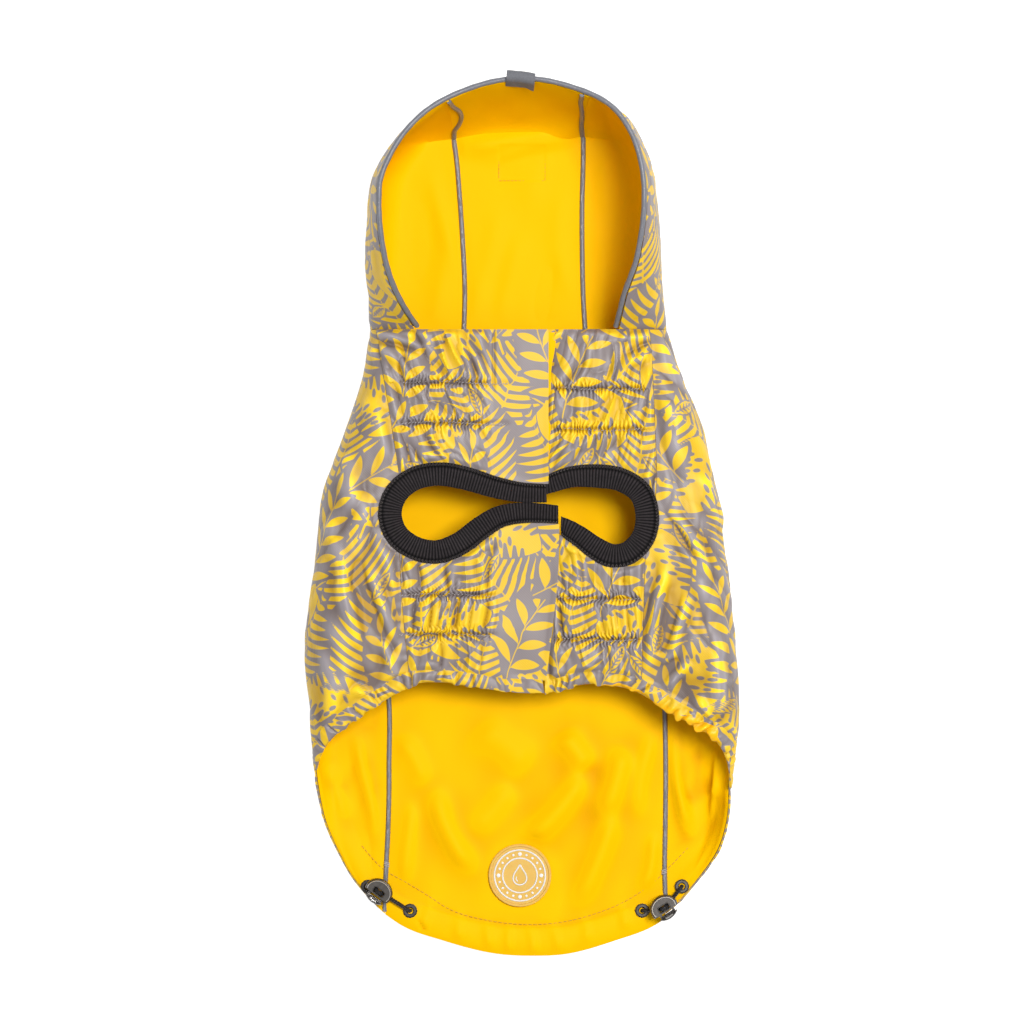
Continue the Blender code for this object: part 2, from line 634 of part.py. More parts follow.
def make_back():
    """The back piece, which the coat lies on, and its lining with the drawcord channel."""
    sheet = sheet_of(centre_grid(), DOWN)
    layer("back_panel", sheet, 0.0, CLOTH, "printed_cloth")
    inner = trimmed(sheet, LINING_INSET, LINING_INSET)
    inner[..., 2] += np.array([[channel_lift(hem_distance(x, y)) for x, y, *_ in row] for row in inner])
    lining = layer("back_lining", inner, CLOTH + GAP, LINING, "yellow_lining")
    for side in SIGN:
        punch(lining, f"eyelet_{side}_inner")


# ---------------------------------------------------------------- belly

def belly_bounds(side, level, x):
    """Lower and upper y of a belly piece at x."""
    rib = RIB_OUTLINE[side]
    low, high = sorted((rib[:, 0].min(), rib[:, 0].max()))
    reach = min(max(x, low + GAP), high - GAP)
    end = LEG_RIB[side][0 if level == "upper" else -1][0]
    reach = min(reach, end - GAP) if side == "left" else max(reach, end + GAP)
    if level == "upper":
        return crossing(rib, 0, reach, max), NECK_Y - GAP / 2
    return crossing(CASING_PLAN[side], 0, x, max), crossing(rib, 0, reach, min)


def belly_edges(side, level, y):
    """x of a belly piece's side seam and of its edge at the placket."""
    seam = SIGN[side] * (BODY[side].at(y)["belly_seam"] - SEAM / 2)
    edge = PLACKET[level].at(y)["x"]
    return seam, edge if side == "left" else edge - UNDERLAP


def casing_plan(side):
    """The line that the cloth keeps to beside the casing, seen from above."""
    line = [on_body(side, np.array([reach]), y)[0][:2] for reach, y in CASING_OUTLINE[side]]
    first = line[0]
    past = first - np.array((SIGN[side] * 3.0 * UNDERLAP, 0.0))
    return np.array([past] + line)


CASING_PLAN = {side: casing_plan(side) for side in SIGN}


def belly_grid(side, level):
    """The face of one belly piece, from its side seam to the placket."""
    grid = np.zeros((BELLY_ROWS + 1, BELLY_COLUMNS + 1, 3))
    for column, u in enumerate(np.linspace(0.0, 1.0, BELLY_COLUMNS + 1)):
        for row, v in enumerate(np.linspace(0.0, 1.0, BELLY_ROWS + 1)):
            y = 50.0 if level == "upper" else -50.0
            for _ in range(4):
                seam, edge = belly_edges(side, level, y)
                x = seam + (edge - seam) * u
                low, high = belly_bounds(side, level, x)
                y = low + (high - low) * v
            grid[row, column] = (x, y, top_height(x, y, under=side == "right"))
    return grid


def gather_relief(side, level, grid):
    """Gathers that run along the coat, pinched flat by the two rows of elastic."""
    relief = np.zeros(grid.shape[:2])
    flat_band = PLACKET_BAND if side == "left" else 0.0
    for row in range(grid.shape[0]):
        for column in range(1, grid.shape[1] - 1, 2):
            x, y, _ = grid[row, column]
            beside = abs(x - placket_edge(y)) if side == "left" else x - placket_edge(y)
            pinch = min(abs(y - line) for line in SHIRRING[side, level])
            puff = 0.35 + 0.65 * ease(pinch / SHIRRING_PINCH)
            uneven = 0.7 + 0.3 * math.sin(column * 2.1 + row * 0.9)
            relief[row, column] = GATHER_HEIGHT * ease((beside - flat_band) / 6.0) * puff * uneven
    return relief


def make_belly():
    """Four gathered belly pieces, above and below the leg holes."""
    for side, level in SHIRRING:
        grid = belly_grid(side, level)
        layer(f"belly_{side}_{level}", sheet_of(grid, UP), 0.0, BELLY, "printed_cloth",
              gather_relief(side, level, grid))


def make_belly_hem():
    """The gathered elastic casing, from the placket round each side to the back hem."""
    for side in SIGN:
        edge, into = casing_lines(side)
        columns = 2 * round(length_of(edge) / HEM_WAVE)
        shares = np.linspace(0.0, 1.0, columns + 1)
        track = along(np.concatenate((edge, into), axis=1), shares)
        grid = np.zeros((3, columns + 1, 3))
        for row, width in enumerate((0.0, CASING / 2, CASING)):
            for column, (reach, y, into_reach, into_y) in enumerate(track):
                place = on_body(side, np.array([reach + into_reach * width]), y + into_y * width)[0]
                if side == "right":
                    place[2] -= placket_drop(place[0], place[1])
                grid[row, column] = place
        relief = np.zeros(grid.shape[:2])
        relief[:, 1::2] = HEM_GATHER_HEIGHT * (0.75 + 0.25 * np.sin(1.7 * np.arange(1, columns + 1, 2)))
        layer(f"belly_hem_{side}", sheet_of(grid, UP), 0.0, BELLY + GAP, "printed_cloth", relief)


def make_leg_ribs():
    """Rib-knit bands round the leg holes, a little proud of the cloth and rounded across."""
    across = np.linspace(-1.0, 1.0, 5)
    for side in SIGN:
        centre, reach = rib_edges(side)
        centre, reach = centre[::2], reach[::2]
        grid = np.zeros((len(across), len(centre), 3))
        for row, share in enumerate(across):
            plan = centre + reach * share
            grid[row, :, :2] = plan
            grid[row, :, 2] = [top_height(x, y, under=side == "right") for x, y in plan]
        relief = np.repeat(RIB_LIFT * (1.0 - across ** 4)[:, None], len(centre), axis=1)
        layer(f"leg_rib_{side}", sheet_of(grid, UP), 0.0, RIB_DEPTH, "rib_knit", relief)


# ---------------------------------------------------------------- hood

def hood_path(side, t):
    """The hood's section at t: out along the floor, round the roll and up to the rim."""
    row = HOOD[side].at(t)
    seam = np.array((row["sx"], row["sy"], max(row["sz"], 0.0)))
    full = np.array((row["bx"], row["by"], row["bz"]))
    rim = np.array((row["rx"], row["ry"], row["rz"]))
    out = full - seam
    reach = math.hypot(out[0], out[1])
    out = np.array((out[0] / reach, out[1] / reach, 0.0))
    roll = min(row["roll"], 0.8 * reach)
    foot = np.array((full[0], full[1], seam[2])) - out * roll
    turn = np.linspace(0.0, math.pi / 2, 10)[:, None]
    lift = np.array((0.0, 0.0, full[2] - seam[2]))
    corner = foot + out * roll * np.sin(turn) + lift * (1.0 - np.cos(turn))
    lean = full + np.array((0.0, 0.0, 0.75 * (rim[2] - full[2])))
    s = np.linspace(0.0, 1.0, 10)[1:, None]
    rise = full * (1 - s) ** 2 + lean * 2 * s * (1 - s) + rim * s ** 2
    return np.concatenate((seam[None], corner, rise))


def hood_grid(side):
    """The face of one hood side, with its neck edge just clear of the body."""
    columns, rows = HOOD_GRID
    grid = []
    for t in np.linspace(0.0, 1.0, rows + 1):
        path = hood_path(side, t)
        start = SEAM / 2 / length_of(path)
        row = along(path, np.linspace(start, 1.0, columns + 1))
        row[:, 1] = np.maximum(row[:, 1], NECK_Y + GAP / 2)
        grid.append(row)
    return np.array(grid)


def crown_grid(inset=SEAM / 2):
    """The hood's centre piece: along the floor from the neck, then up to the rim."""
    columns, rows = CROWN_GRID
    grid = np.zeros((rows + 1, columns + 1, 3))
    for row, t in enumerate(np.linspace(0.0, 1.0, rows + 1)):
        ends = [hood_path(side, t)[0] for side in SIGN]
        bulge = CROWN_BULGE.at(t)["out"]
        for column, u in enumerate(np.linspace(0.0, 1.0, columns + 1)):
            width = np.linalg.norm(ends[1] - ends[0])
            share = (inset + (width - 2 * inset) * u) / width
            point = ends[0] + (ends[1] - ends[0]) * share
            point[1] = max(point[1] + bulge * 4 * share * (1 - share), NECK_Y + GAP / 2)
            grid[row, column] = point
    return grid


def make_hood():
    """Crown and two sides, each with its lining, and piping let in between the linings."""
    for side in SIGN:
        sheet = sheet_of(hood_grid(side), DOWN)
        layer(f"hood_side_{side}", sheet, 0.0, CLOTH, "printed_cloth")
        layer(f"hood_side_lining_{side}", trimmed(sheet, LINING_INSET, GAP, RIM_LININGS), CLOTH + GAP,
              LINING, "yellow_lining")
    sheet = sheet_of(crown_grid(), DOWN)
    layer("hood_crown", sheet, 0.0, CLOTH, "printed_cloth")
    layer("hood_crown_lining", trimmed(sheet, LINING_INSET, LINING_INSET, GAP), CLOTH + GAP, LINING,
          "yellow_lining")


def edge_line(grid):
    """The rim's line: a little past the last column of a grid, midway through the two cloths."""
    normal = normals(grid, DOWN)[:, -1]
    onward = grid[:, -1] - grid[:, -2]
    onward /= np.linalg.norm(onward, axis=1, keepdims=True)
    return grid[:, -1] + onward * (RIM_RADIUS + GAP) - normal * LINING_TOP / 2


def make_rim():
    """Reflective binding round the hood's opening, from one end of the neckline to the other."""
    left, right = (edge_line(hood_grid(side)) for side in SIGN)
    middle = edge_line(np.swapaxes(crown_grid(), 0, 1))
    left[0, 1] = right[0, 1] = NECK_Y + RIM_RADIUS + GAP
    rim = np.concatenate((left[:-1], middle[1:-1], right[:-1][::-1]))
    tube("hood_rim_binding", curve_through(rim, 50), RIM_RADIUS, "reflective_piping", 1)


def make_piping():
    """Piping in the lining's seams, along the back and up the hood."""
    for side in SIGN:
        height = CLOTH + GAP + PIPING_RADIUS
        stations = np.linspace(PIPING_FOOT, NECK_Y - GAP, 20)
        line = [(SIGN[side] * BODY[side].at(y)["seam"], y, height) for y in stations]
        tube(f"back_piping_{side}", line, PIPING_RADIUS, "reflective_piping", 1)

        grid = crown_grid(0.0)
        normal = normals(grid, DOWN)
        column = 0 if side == "left" else -1
        line = grid[:, column] - normal[:, column] * height
        line[0, 1] = NECK_Y + GAP
        tube(f"hood_piping_{side}", line, PIPING_RADIUS, "reflective_piping", 1)


def make_label():
    """A folded tape over the rim, at the top of the hood."""
    grid = crown_grid()
    column = grid.shape[1] // 2
    inward = -normals(grid, DOWN)[-1, column]
    onward = grid[-1, column] - grid[-2, column]
    onward /= np.linalg.norm(onward)
    middle = grid[-1, column] + onward * (RIM_RADIUS + GAP) + inward * LINING_TOP / 2
    half = RIM_RADIUS + 2 * GAP
    turns = np.linspace(0.0, math.pi, 7)
    profile = [middle + inward * half - onward * LABEL["inner"]]
    profile += [middle + inward * half * math.cos(a) + onward * half * math.sin(a) for a in turns]
    profile += [middle - inward * half - onward * LABEL["outer"]]
    tape = np.repeat(np.array(profile)[:, None], 4, axis=1)
    aside = np.linspace(-0.5, 0.5, 4) * LABEL["width"]
    tape[..., 0] += aside
    tape[..., 1] -= 4.0 * CROWN_BULGE.at(1.0)["out"] * (aside / np.ptp(grid[-1, :, 0])) ** 2
    thickness = LABEL["thickness"]
    layer("hood_tape_tab", sheet_of(tape, tuple(onward)), -thickness, thickness, "woven_tape")


# ---------------------------------------------------------------- hardware

def turned_piece(name, profile, steps, finish, place, ring=True):
    """A turned piece: its profile, outer side from top to bottom, spun about its axis."""
    work = bmesh.new()
    corners = [work.verts.new((radius * MM, 0.0, height * MM)) for radius, height in profile]
    for start, end in zip(corners, corners[1:] + (corners[:1] if ring else [])):
        work.edges.new((start, end))
    piece = mesh_object(name, work, finish)
    piece.location = to_metres(place)
    screw = piece.modifiers.new("turned", "SCREW")
    screw.steps = steps
    screw.render_steps = steps
    screw.use_merge_vertices = True
    screw.merge_threshold = 0.00001
    return piece


def make_badge():
    """A round rubber badge with a raised rim, bare of any mark."""
    r, field, top = BADGE["radius"], BADGE["field"], BADGE["thickness"]
    inner = r - BADGE["rim"]
    round_over = BADGE["round_over"]
    profile = ((0.0, field), (inner - round_over, field), (inner, top), (r - round_over, top),
               (r, top - round_over), (r, 0.0), (0.0, 0.0))
    place = (BADGE["x"], BADGE["y"], LINING_TOP + GAP)
    turned_piece("rubber_badge", profile, 36, "amber_rubber", place, False)


def make_eyelets():
    """Four eyelets in the channel, whose barrels go through the lining."""
    e = EYELET
    profile = ((e["hole"], e["height"] - e["lip"] / 2), (e["hole"] + e["lip"], e["height"]),
               (e["flange"] - e["slope"], e["height"]), (e["flange"], e["height"] / 2),
               (e["flange"], 0.0), (e["barrel"], 0.0), (e["barrel"], -e["depth"]),
               (e["hole"], -e["depth"]))
    for name, (x, y) in EYELET_PLACES.items():
        turned_piece(name, profile, 12, "gunmetal", (x, y, LINING_TOP + CHANNEL_LIFT + GAP))


def punch(lining, name):
    """Cut the hole that an eyelet's barrel goes through."""
    x, y = EYELET_PLACES[name]
    work = bmesh.new()
    bmesh.ops.create_cone(work, cap_ends=True, segments=16, radius1=EYELET_HOLE * MM,
                          radius2=EYELET_HOLE * MM, depth=20 * MM)
    cutter = mesh_object(f"cutter_{name}", work, None, "cutters")
    cutter.location = to_metres((x, y, 0.0))
    add_cut(lining, cutter)


def add_cut(piece, cutter, operation="DIFFERENCE"):
    """Cut, join or keep with another object, which stays out of the model."""
    cutter.hide_render = True
    cutter.display_type = "WIRE"
    change = piece.modifiers.new(cutter.name, "BOOLEAN")
    change.operation = operation
    change.object = cutter
    change.solver = "EXACT"


def block(name, low, high, place, turn, collection="cutters"):
    """A box between two corners in a lock's own axes."""
    work = bmesh.new()
    bmesh.ops.create_cube(work, size=1.0)
    for vertex in work.verts:
        for axis in range(3):
            vertex.co[axis] = (low[axis] if vertex.co[axis] < 0 else high[axis]) * MM
    piece = mesh_object(name, work, None, collection)
    piece.location = place
    piece.rotation_euler = (0.0, 0.0, turn)
    return piece


def oval(name, finish, place, turn, collection="dog_raincoat"):
    """The cord lock's rounded oval body."""
    work = bmesh.new()
    bmesh.ops.create_cone(work, cap_ends=True, segments=24, radius1=0.5, radius2=0.5, depth=1.0)
    for vertex in work.verts:
        vertex.co = (vertex.co.x * LOCK["length"] * MM, vertex.co.y * LOCK["width"] * MM,
                     vertex.co.z * LOCK["height"] * MM)
    rims = [edge for edge in work.edges if abs(edge.verts[0].co.z - edge.verts[1].co.z) < 1e-6]
    bmesh.ops.bevel(work, geom=rims, offset=LOCK["edge"] * MM, segments=2, profile=0.5, affect="EDGES")
    piece = mesh_object(name, work, finish, collection)
    piece.location = place
    piece.rotation_euler = (0.0, 0.0, turn)
    return piece


def make_lock(side):
    """A cord lock: an oval shell, and a spring button whose tongue slides in its pocket."""
    spot = LOCKS[side]
    turn = math.radians(spot["turn"])
    place = to_metres((spot["x"], spot["y"], LOCK_BOTTOM + LOCK["height"] / 2))
    far, wide, deep = LOCK["length"], POCKET["width"] / 2, POCKET["height"] / 2
    slot_x, slot_y = LOCK_SLOT["length"] / 2, LOCK_SLOT["width"] / 2

    shell = oval(f"cord_lock_{side}", "gunmetal", place, turn)
    cuts = (("face", (-far, -far, -far), (far, LOCK["cut"], far)),
            ("pocket", (-wide, -far, -deep), (wide, POCKET["end"], deep)),
            ("slot", (-slot_x, -slot_y, -far), (slot_x, slot_y, far)))
    for label, low, high in cuts:
        add_cut(shell, block(f"cutter_{label}_{side}", low, high, place, turn))

    button = oval(f"lock_button_{side}", "gunmetal", place, turn)
    low, high = (-far, LOCK["head"], -far), (far, far, far)
    add_cut(button, block(f"cutter_head_{side}", low, high, place, turn))
    tongue = block(f"joiner_tongue_{side}", (-wide + GAP, LOCK["head"] - 0.4, -deep + GAP),
                   (wide - GAP, TONGUE_END, deep - GAP), place, turn)
    add_cut(button, tongue, "UNION")
    low, high = (-slot_x, -slot_y - PRESS, -far), (slot_x, slot_y, far)
    add_cut(button, block(f"cutter_window_{side}", low, high, place, turn))


def lock_point(side, across, up):
    """A point on a lock's slot line: distance along the slot, and height."""
    spot = LOCKS[side]
    turn = math.radians(spot["turn"])
    return (spot["x"] + across * math.cos(turn), spot["y"] + across * math.sin(turn), up)


def make_drawcord(side):
    """The drawcord's loop: out of one eyelet, through the lock and into the other eyelet."""
    outer = EYELET_PLACES[f"eyelet_{side}_outer"]
    inner = EYELET_PLACES[f"eyelet_{side}_inner"]
    toward = 1.0 if side == "left" else -1.0
    top = LOCK_BOTTOM + LOCK["height"]
    level = LOCK_BOTTOM - CORD_RADIUS - GAP
    ends = []
    for (x, y), sense in ((outer, -toward), (inner, toward)):
        foot = np.array(lock_point(side, sense * (STRAND + 0.8), level))
        mouth = np.array((x, y, 0.0))
        away = foot - mouth
        away[2] = 0.0
        away /= np.linalg.norm(away)
        ends.append([(x, y, CLOTH + 2 * GAP), (x, y, 3.2), mouth + away * 0.2 + (0.0, 0.0, 4.4),
                     mouth + away * 1.2 + (0.0, 0.0, level - 0.1), mouth + away * 2.8 + (0.0, 0.0, level),
                     foot - away * 1.6, foot])
    over = [lock_point(side, -toward * STRAND, LOCK_BOTTOM + 1.6),
            lock_point(side, -toward * STRAND, top - 1.2),
            lock_point(side, -toward * 1.1, top + 0.2),
            lock_point(side, 0.0, top + 0.7),
            lock_point(side, toward * 1.1, top + 0.2),
            lock_point(side, toward * STRAND, top - 1.2),
            lock_point(side, toward * STRAND, LOCK_BOTTOM + 1.6)]
    route = ends[0] + over + ends[1][::-1]
    tube(f"drawcord_{side}", curve_through(route, 32), CORD_RADIUS, "black_cord", 1)


def main():
    for item in list(bpy.data.objects):
        bpy.data.objects.remove(item)
    for name in ("dog_raincoat", "cutters"):
        bpy.context.scene.collection.children.link(bpy.data.collections.new(name))
    make_back()
    make_sides()
    make_belly()
    make_belly_hem()
    make_leg_ribs()
    make_hood()
    make_rim()
    make_piping()
    make_label()
    make_badge()
    make_eyelets()
    for side in SIGN:
        make_lock(side)
        make_drawcord(side)


main()
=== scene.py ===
# Dog raincoat laid on its back, belly up: cloth, ribs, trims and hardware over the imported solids
import math

import bpy
import numpy as np
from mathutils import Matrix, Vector


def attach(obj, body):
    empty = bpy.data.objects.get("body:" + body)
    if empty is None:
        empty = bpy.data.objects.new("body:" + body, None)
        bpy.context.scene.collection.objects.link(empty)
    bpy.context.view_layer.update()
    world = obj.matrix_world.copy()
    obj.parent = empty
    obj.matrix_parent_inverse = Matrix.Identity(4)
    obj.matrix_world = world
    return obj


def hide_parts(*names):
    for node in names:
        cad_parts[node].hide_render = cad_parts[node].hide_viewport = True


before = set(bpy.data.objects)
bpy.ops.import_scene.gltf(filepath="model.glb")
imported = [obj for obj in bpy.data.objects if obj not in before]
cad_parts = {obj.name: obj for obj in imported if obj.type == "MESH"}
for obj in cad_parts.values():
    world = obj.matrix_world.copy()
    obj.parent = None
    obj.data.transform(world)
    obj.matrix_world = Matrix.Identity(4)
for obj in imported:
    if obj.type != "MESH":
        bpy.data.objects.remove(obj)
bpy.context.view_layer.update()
signOf = {"left": -1.0, "right": 1.0}
down = (0.0, 0.0, -1.0)
up = (0.0, 0.0, 1.0)

# lengths here are millimetres, turned to the frame's metres when a mesh is made
mm = 0.001
middle = {"x": 0.0, "y": -2.9}
cloth = {"outer": 1.0, "lining": 1.0, "belly": 1.6, "gap": 0.3, "wall": 0.9, "edge": 6.0}
liningTop = cloth["outer"] + cloth["gap"] + cloth["lining"]
neckY = 91.0


def smoothStep(t, start, end, leave, arrive):
    # between two values, with the slope wanted at each
    return (start * (1 + 2 * t) * (1 - t) ** 2 + leave * t * (1 - t) ** 2
            + end * t * t * (3 - 2 * t) + arrive * t * t * (t - 1))


class Table:
    # named columns at stations, read between rows on a smooth curve
    def __init__(self, names, *rows):
        values = np.array(sorted(rows), dtype=float)
        self.names = names.split()[1:]
        self.stations = values[:, 0]
        self.values = values[:, 1:]
        self.slopes = np.gradient(self.values, self.stations, axis=0)

    def at(self, station):
        last = len(self.stations) - 2
        station = min(max(station, self.stations[0]), self.stations[-1])
        row = min(max(int(np.searchsorted(self.stations, station)) - 1, 0), last)
        span = self.stations[row + 1] - self.stations[row]
        value = smoothStep((station - self.stations[row]) / span, self.values[row], self.values[row + 1],
                           self.slopes[row] * span, self.slopes[row + 1] * span)
        return dict(zip(self.names, value))


# small tools

def toFrame(points):
    return (np.asarray(points, dtype=float) - (middle["x"], middle["y"], 0.0)) * mm


def ease(t):
    t = np.clip(t, 0.0, 1.0)
    return t * t * (3.0 - 2.0 * t)


def travelled(points, axis=0):
    # distance from the start of a path, or from one edge of a grid
    steps = np.linalg.norm(np.diff(points, axis=axis), axis=-1)
    return np.concatenate((np.zeros_like(steps.take([0], axis)), np.cumsum(steps, axis=axis)), axis=axis)


def unit(vectors):
    return vectors / np.linalg.norm(vectors, axis=-1, keepdims=True)


def along(path, shares):
    distance = travelled(path)
    wanted = np.asarray(shares) * distance[-1]
    return np.stack([np.interp(wanted, distance, path[:, axis]) for axis in range(path.shape[1])], axis=-1)


def lengthOf(path):
    return float(np.linalg.norm(np.diff(path, axis=0), axis=1).sum())


def curveThrough(points, count):
    points = np.array(points, dtype=float)
    station = travelled(points)
    names = " ".join(["s", "x", "y", "z"][:points.shape[1] + 1])
    table = Table(names, *[(s, *point) for s, point in zip(station, points)])
    dense = np.array([list(table.at(s).values()) for s in np.linspace(0.0, station[-1], 12 * len(points))])
    return along(dense, np.linspace(0.0, 1.0, count))


def resample(grid, count, axis):
    # a grid of points read at more places along one axis, on smooth curves through its own points
    source = np.moveaxis(grid, axis, 0)
    place = np.linspace(0.0, len(source) - 1.0, count)
    low = np.minimum(place.astype(int), len(source) - 2)
    t = (place - low).reshape((-1,) + (1,) * (source.ndim - 1))
    slope = np.gradient(source, axis=0)
    return np.moveaxis(smoothStep(t, source[low], source[low + 1], slope[low], slope[low + 1]), 0, axis)


def finer(grid, rows, columns):
    return resample(resample(grid, rows, 0), columns, 1)


def normalsOf(grid, facing):
    normal = np.cross(np.gradient(grid, axis=1), np.gradient(grid, axis=0))
    normal /= np.maximum(np.linalg.norm(normal, axis=2, keepdims=True), 1e-9)
    if np.dot(normal[len(grid) // 2, 0], facing) < 0:
        normal = -normal
    return normal


def softNoise(x, y, seed):
    # smooth heights between -1 and 1 on a lattice one unit wide, the same each run
    cellX, cellY = np.floor(x), np.floor(y)
    fx, fy = ease(x - cellX), ease(y - cellY)

    def corner(i, j):
        value = np.sin((cellX + i) * 127.1 + (cellY + j) * 311.7 + seed * 74.7) * 43758.5453
        return (value - np.floor(value)) * 2.0 - 1.0

    low = corner(0, 0) * (1 - fx) + corner(1, 0) * fx
    high = corner(0, 1) * (1 - fx) + corner(1, 1) * fx
    return low * (1 - fy) + high * fy


def billows(x, y, seed, power=0.8):
    # rounded swells between sharp creases
    return np.abs(softNoise(x, y, seed)) ** power


def creaseHeight(x, y, creases):
    # listed folds, each (x, y, x, y, width, height), soft across and fading out at both ends
    total = np.zeros_like(x)
    for x0, y0, x1, y1, width, height in creases:
        dx, dy = x1 - x0, y1 - y0
        reach = math.hypot(dx, dy)
        share = ((x - x0) * dx + (y - y0) * dy) / reach ** 2
        aside = ((x - x0) * dy - (y - y0) * dx) / reach
        wander = 0.06 * reach * np.sin(3.0 * share + x0)
        fade = ease((share + 0.15) / 0.4) * ease((1.15 - share) / 0.4)
        total += height * np.exp(-((aside - wander) / width) ** 2) * fade
    return total


def edgeFade(grid, reach):
    # 0 on a sheet's edges, 1 from `reach` inside them
    across, lengthways = travelled(grid, 1), travelled(grid)
    inside = np.minimum(np.minimum(across, across[:, -1:] - across),
                        np.minimum(lengthways, lengthways[-1:] - lengthways))
    return ease(inside / reach)


def averaged(field, reach):
    # each value's mean over the cells around it
    for axis in (0, 1):
        ends = [np.repeat(np.take(field, [end], axis), reach + 1, axis) for end in (0, -1)]
        total = np.cumsum(np.concatenate((ends[0], field, ends[1]), axis), axis)
        span = 2 * reach + 1
        count = field.shape[axis]
        field = (np.take(total, range(span, span + count), axis) - np.take(total, range(count), axis)) / span
    return field


def paintedFoldShadeMark(lift, reach, strength):
    # 1 deep between folds, -1 on their ridges: the materials darken the colour there as painted shade, and
    # the print lightens it on the ridges as painted highlight
    return np.clip((averaged(lift, reach) - lift) / strength, -1.0, 1.0)


def alongCloth(face):
    # distance across each row of a folded sheet, where every row uses up the same width of cloth
    across = travelled(face, 1)
    return across / across[:, -1:] * across[:, -1].mean()


# the print: leaves laid over each other on a grey ground, as distances to the ink's edge

printRepeat, printScale, inkGap = 210.0, 0.70, 1.2


def turned(x, y, degrees):
    a = math.radians(degrees)
    return x * math.cos(a) + y * math.sin(a), y * math.cos(a) - x * math.sin(a)


def lensInk(u, v, length, width):
    # a leaf of two arcs with a point at each end, from its base at 0
    radius = (length ** 2 + width ** 2) / (4.0 * width)
    reach = radius - 0.5 * width
    u = u - 0.5 * length
    return radius - np.hypot(u, np.abs(v) + reach)


def leafletHash(number, side):
    value = np.sin(number * 12.9898 + np.where(side > 0, 78.233, 37.719)) * 43758.5453
    return value - np.floor(value)


def frondReach(place, size):
    # half the width of a frond at a place along its rib
    share = np.clip(place / size, 0.0, 1.0)
    return 0.30 * size * np.clip(np.sin(math.pi * (0.22 + 0.78 * share) ** 0.9), 0.05, 1.0) ** 0.7


def frondInk(u, v, size):
    # a palm frond: a bent rib with long curved leaflets on both sides, tapering to uneven tips
    v = v - 0.0030 * (u - 0.45 * size) ** 2
    side = np.abs(v)
    start = u - 0.30 * side - 0.011 * side ** 2
    pitch = 6.8
    number = np.floor(start / pitch)
    reach = frondReach((number + 0.5) * pitch, size) * (0.82 + 0.25 * leafletHash(number, v))
    off = np.abs(start / pitch - number - 0.5) * pitch * 0.93
    part = np.clip(side / reach, 0.0, 1.5)
    thick = 2.05 * (1.0 - part ** 2.6) * (0.80 + 0.20 * ease(part * 4.0))
    leaflets = np.minimum(thick - off, np.minimum(start + 0.5, size - start))
    rib = np.minimum(0.75 * (1.15 - u / size) - side, np.minimum(u + 8.0, size + 2.0 - u))
    body = np.minimum(frondReach(start, size) - side, np.minimum(start + 1.5, size + 1.0 - start))
    return np.maximum(leaflets, rib), np.maximum(body, rib)


def sprigInk(u, v, size):
    # a bent stem with lance leaves that leave it in pairs and one at its tip
    v = v + 0.0032 * (u - 0.5 * size) ** 2
    ink = np.minimum(0.40 - np.abs(v), np.minimum(u + 5.0, size - u))
    leaf, width = 0.32 * size, 0.096 * size
    for number in range(5):
        place = (0.06 + 0.185 * number) * size
        shrink = 1.0 - 0.07 * number
        for side in (-1.0, 1.0):
            a, b = turned(u - place - (0.035 * size if side > 0 else 0.0), v, side * (50.0 - 4.0 * number))
            b = b - side * 0.008 * (a - 1.5) * np.clip(a, 0.0, leaf)
            ink = np.maximum(ink, lensInk(a - 1.3, b, leaf * shrink, width * shrink))
            ink = np.maximum(ink, np.minimum(0.32 - np.abs(b), np.minimum(a + 0.2, 2.4 - a)))
    ink = np.maximum(ink, lensInk(u - 0.97 * size, v, leaf * 0.7, width * 0.75))
    ground = lensInk(u + 0.08 * size, v, 1.30 * size, 0.50 * size)
    return ink, np.maximum(ink + 1.3, ground)


def splitLeafInk(u, v, size):
    # a broad leaf with narrow slots from its edge along its veins, and holes beside its rib
    side = np.abs(v)
    share = np.clip(0.17 + 0.83 * np.clip(u / size, -0.2, 1.0), 0.0, 1.0)
    half = 0.46 * size * np.clip(np.sin(math.pi * share ** 0.82), 0.0, 1.0) ** 0.75
    body = np.minimum(half - side, np.minimum(u + 0.10 * size + 0.25 * side, size - u))
    leaf = body
    start = u - 0.42 * side - 0.010 * side ** 2
    for place, depth in ((0.06, 0.50), (0.235, 0.42), (0.41, 0.46), (0.57, 0.44), (0.70, 0.5)):
        aside = np.abs(start - place * size) * 0.9
        inward = side - depth * half
        width = 1.15 + 0.17 * np.maximum(inward, 0.0)
        slot = np.where(inward > 0, width - aside, width - np.hypot(aside, inward))
        leaf = np.minimum(leaf, -slot)
    for place, out, long in ((0.15, 0.24, 2.4), (0.32, 0.20, 1.7), (0.33, 0.50, 1.8), (0.49, 0.26, 2.0),
                             (0.15, 0.6, 1.5)):
        aside = (start - place * size) * 0.9
        hole = 1.5 - np.hypot(aside, (side - out * 0.44 * size) / long)
        leaf = np.minimum(leaf, -hole)
    stem = np.minimum(0.6 - side, np.minimum(u + 0.34 * size, -u + 0.1 * size))
    return np.maximum(leaf, stem), np.maximum(body, stem)


def budInk(u, v, size):
    # a single small leaf with a bare rib and bare veins
    leaf = lensInk(u, v, size, 0.36 * size)
    vein = (u - 0.9 * np.abs(v)) / (0.15 * size)
    veins = np.abs(vein - np.floor(vein) - 0.5) * 0.15 * size * 0.75 - 0.52
    rib = np.abs(v) - 0.58
    inner = np.maximum(np.minimum(veins, rib), 0.8 - leaf)
    stem = np.minimum(0.35 - np.abs(v), np.minimum(u + 4.0, 1.0 - u))
    return np.maximum(np.minimum(leaf, inner), stem), leaf


motifInk = {"frond": (frondInk, 0.70), "sprig": (sprigInk, 0.85), "split": (splitLeafInk, 0.85),
            "bud": (budInk, 0.8)}

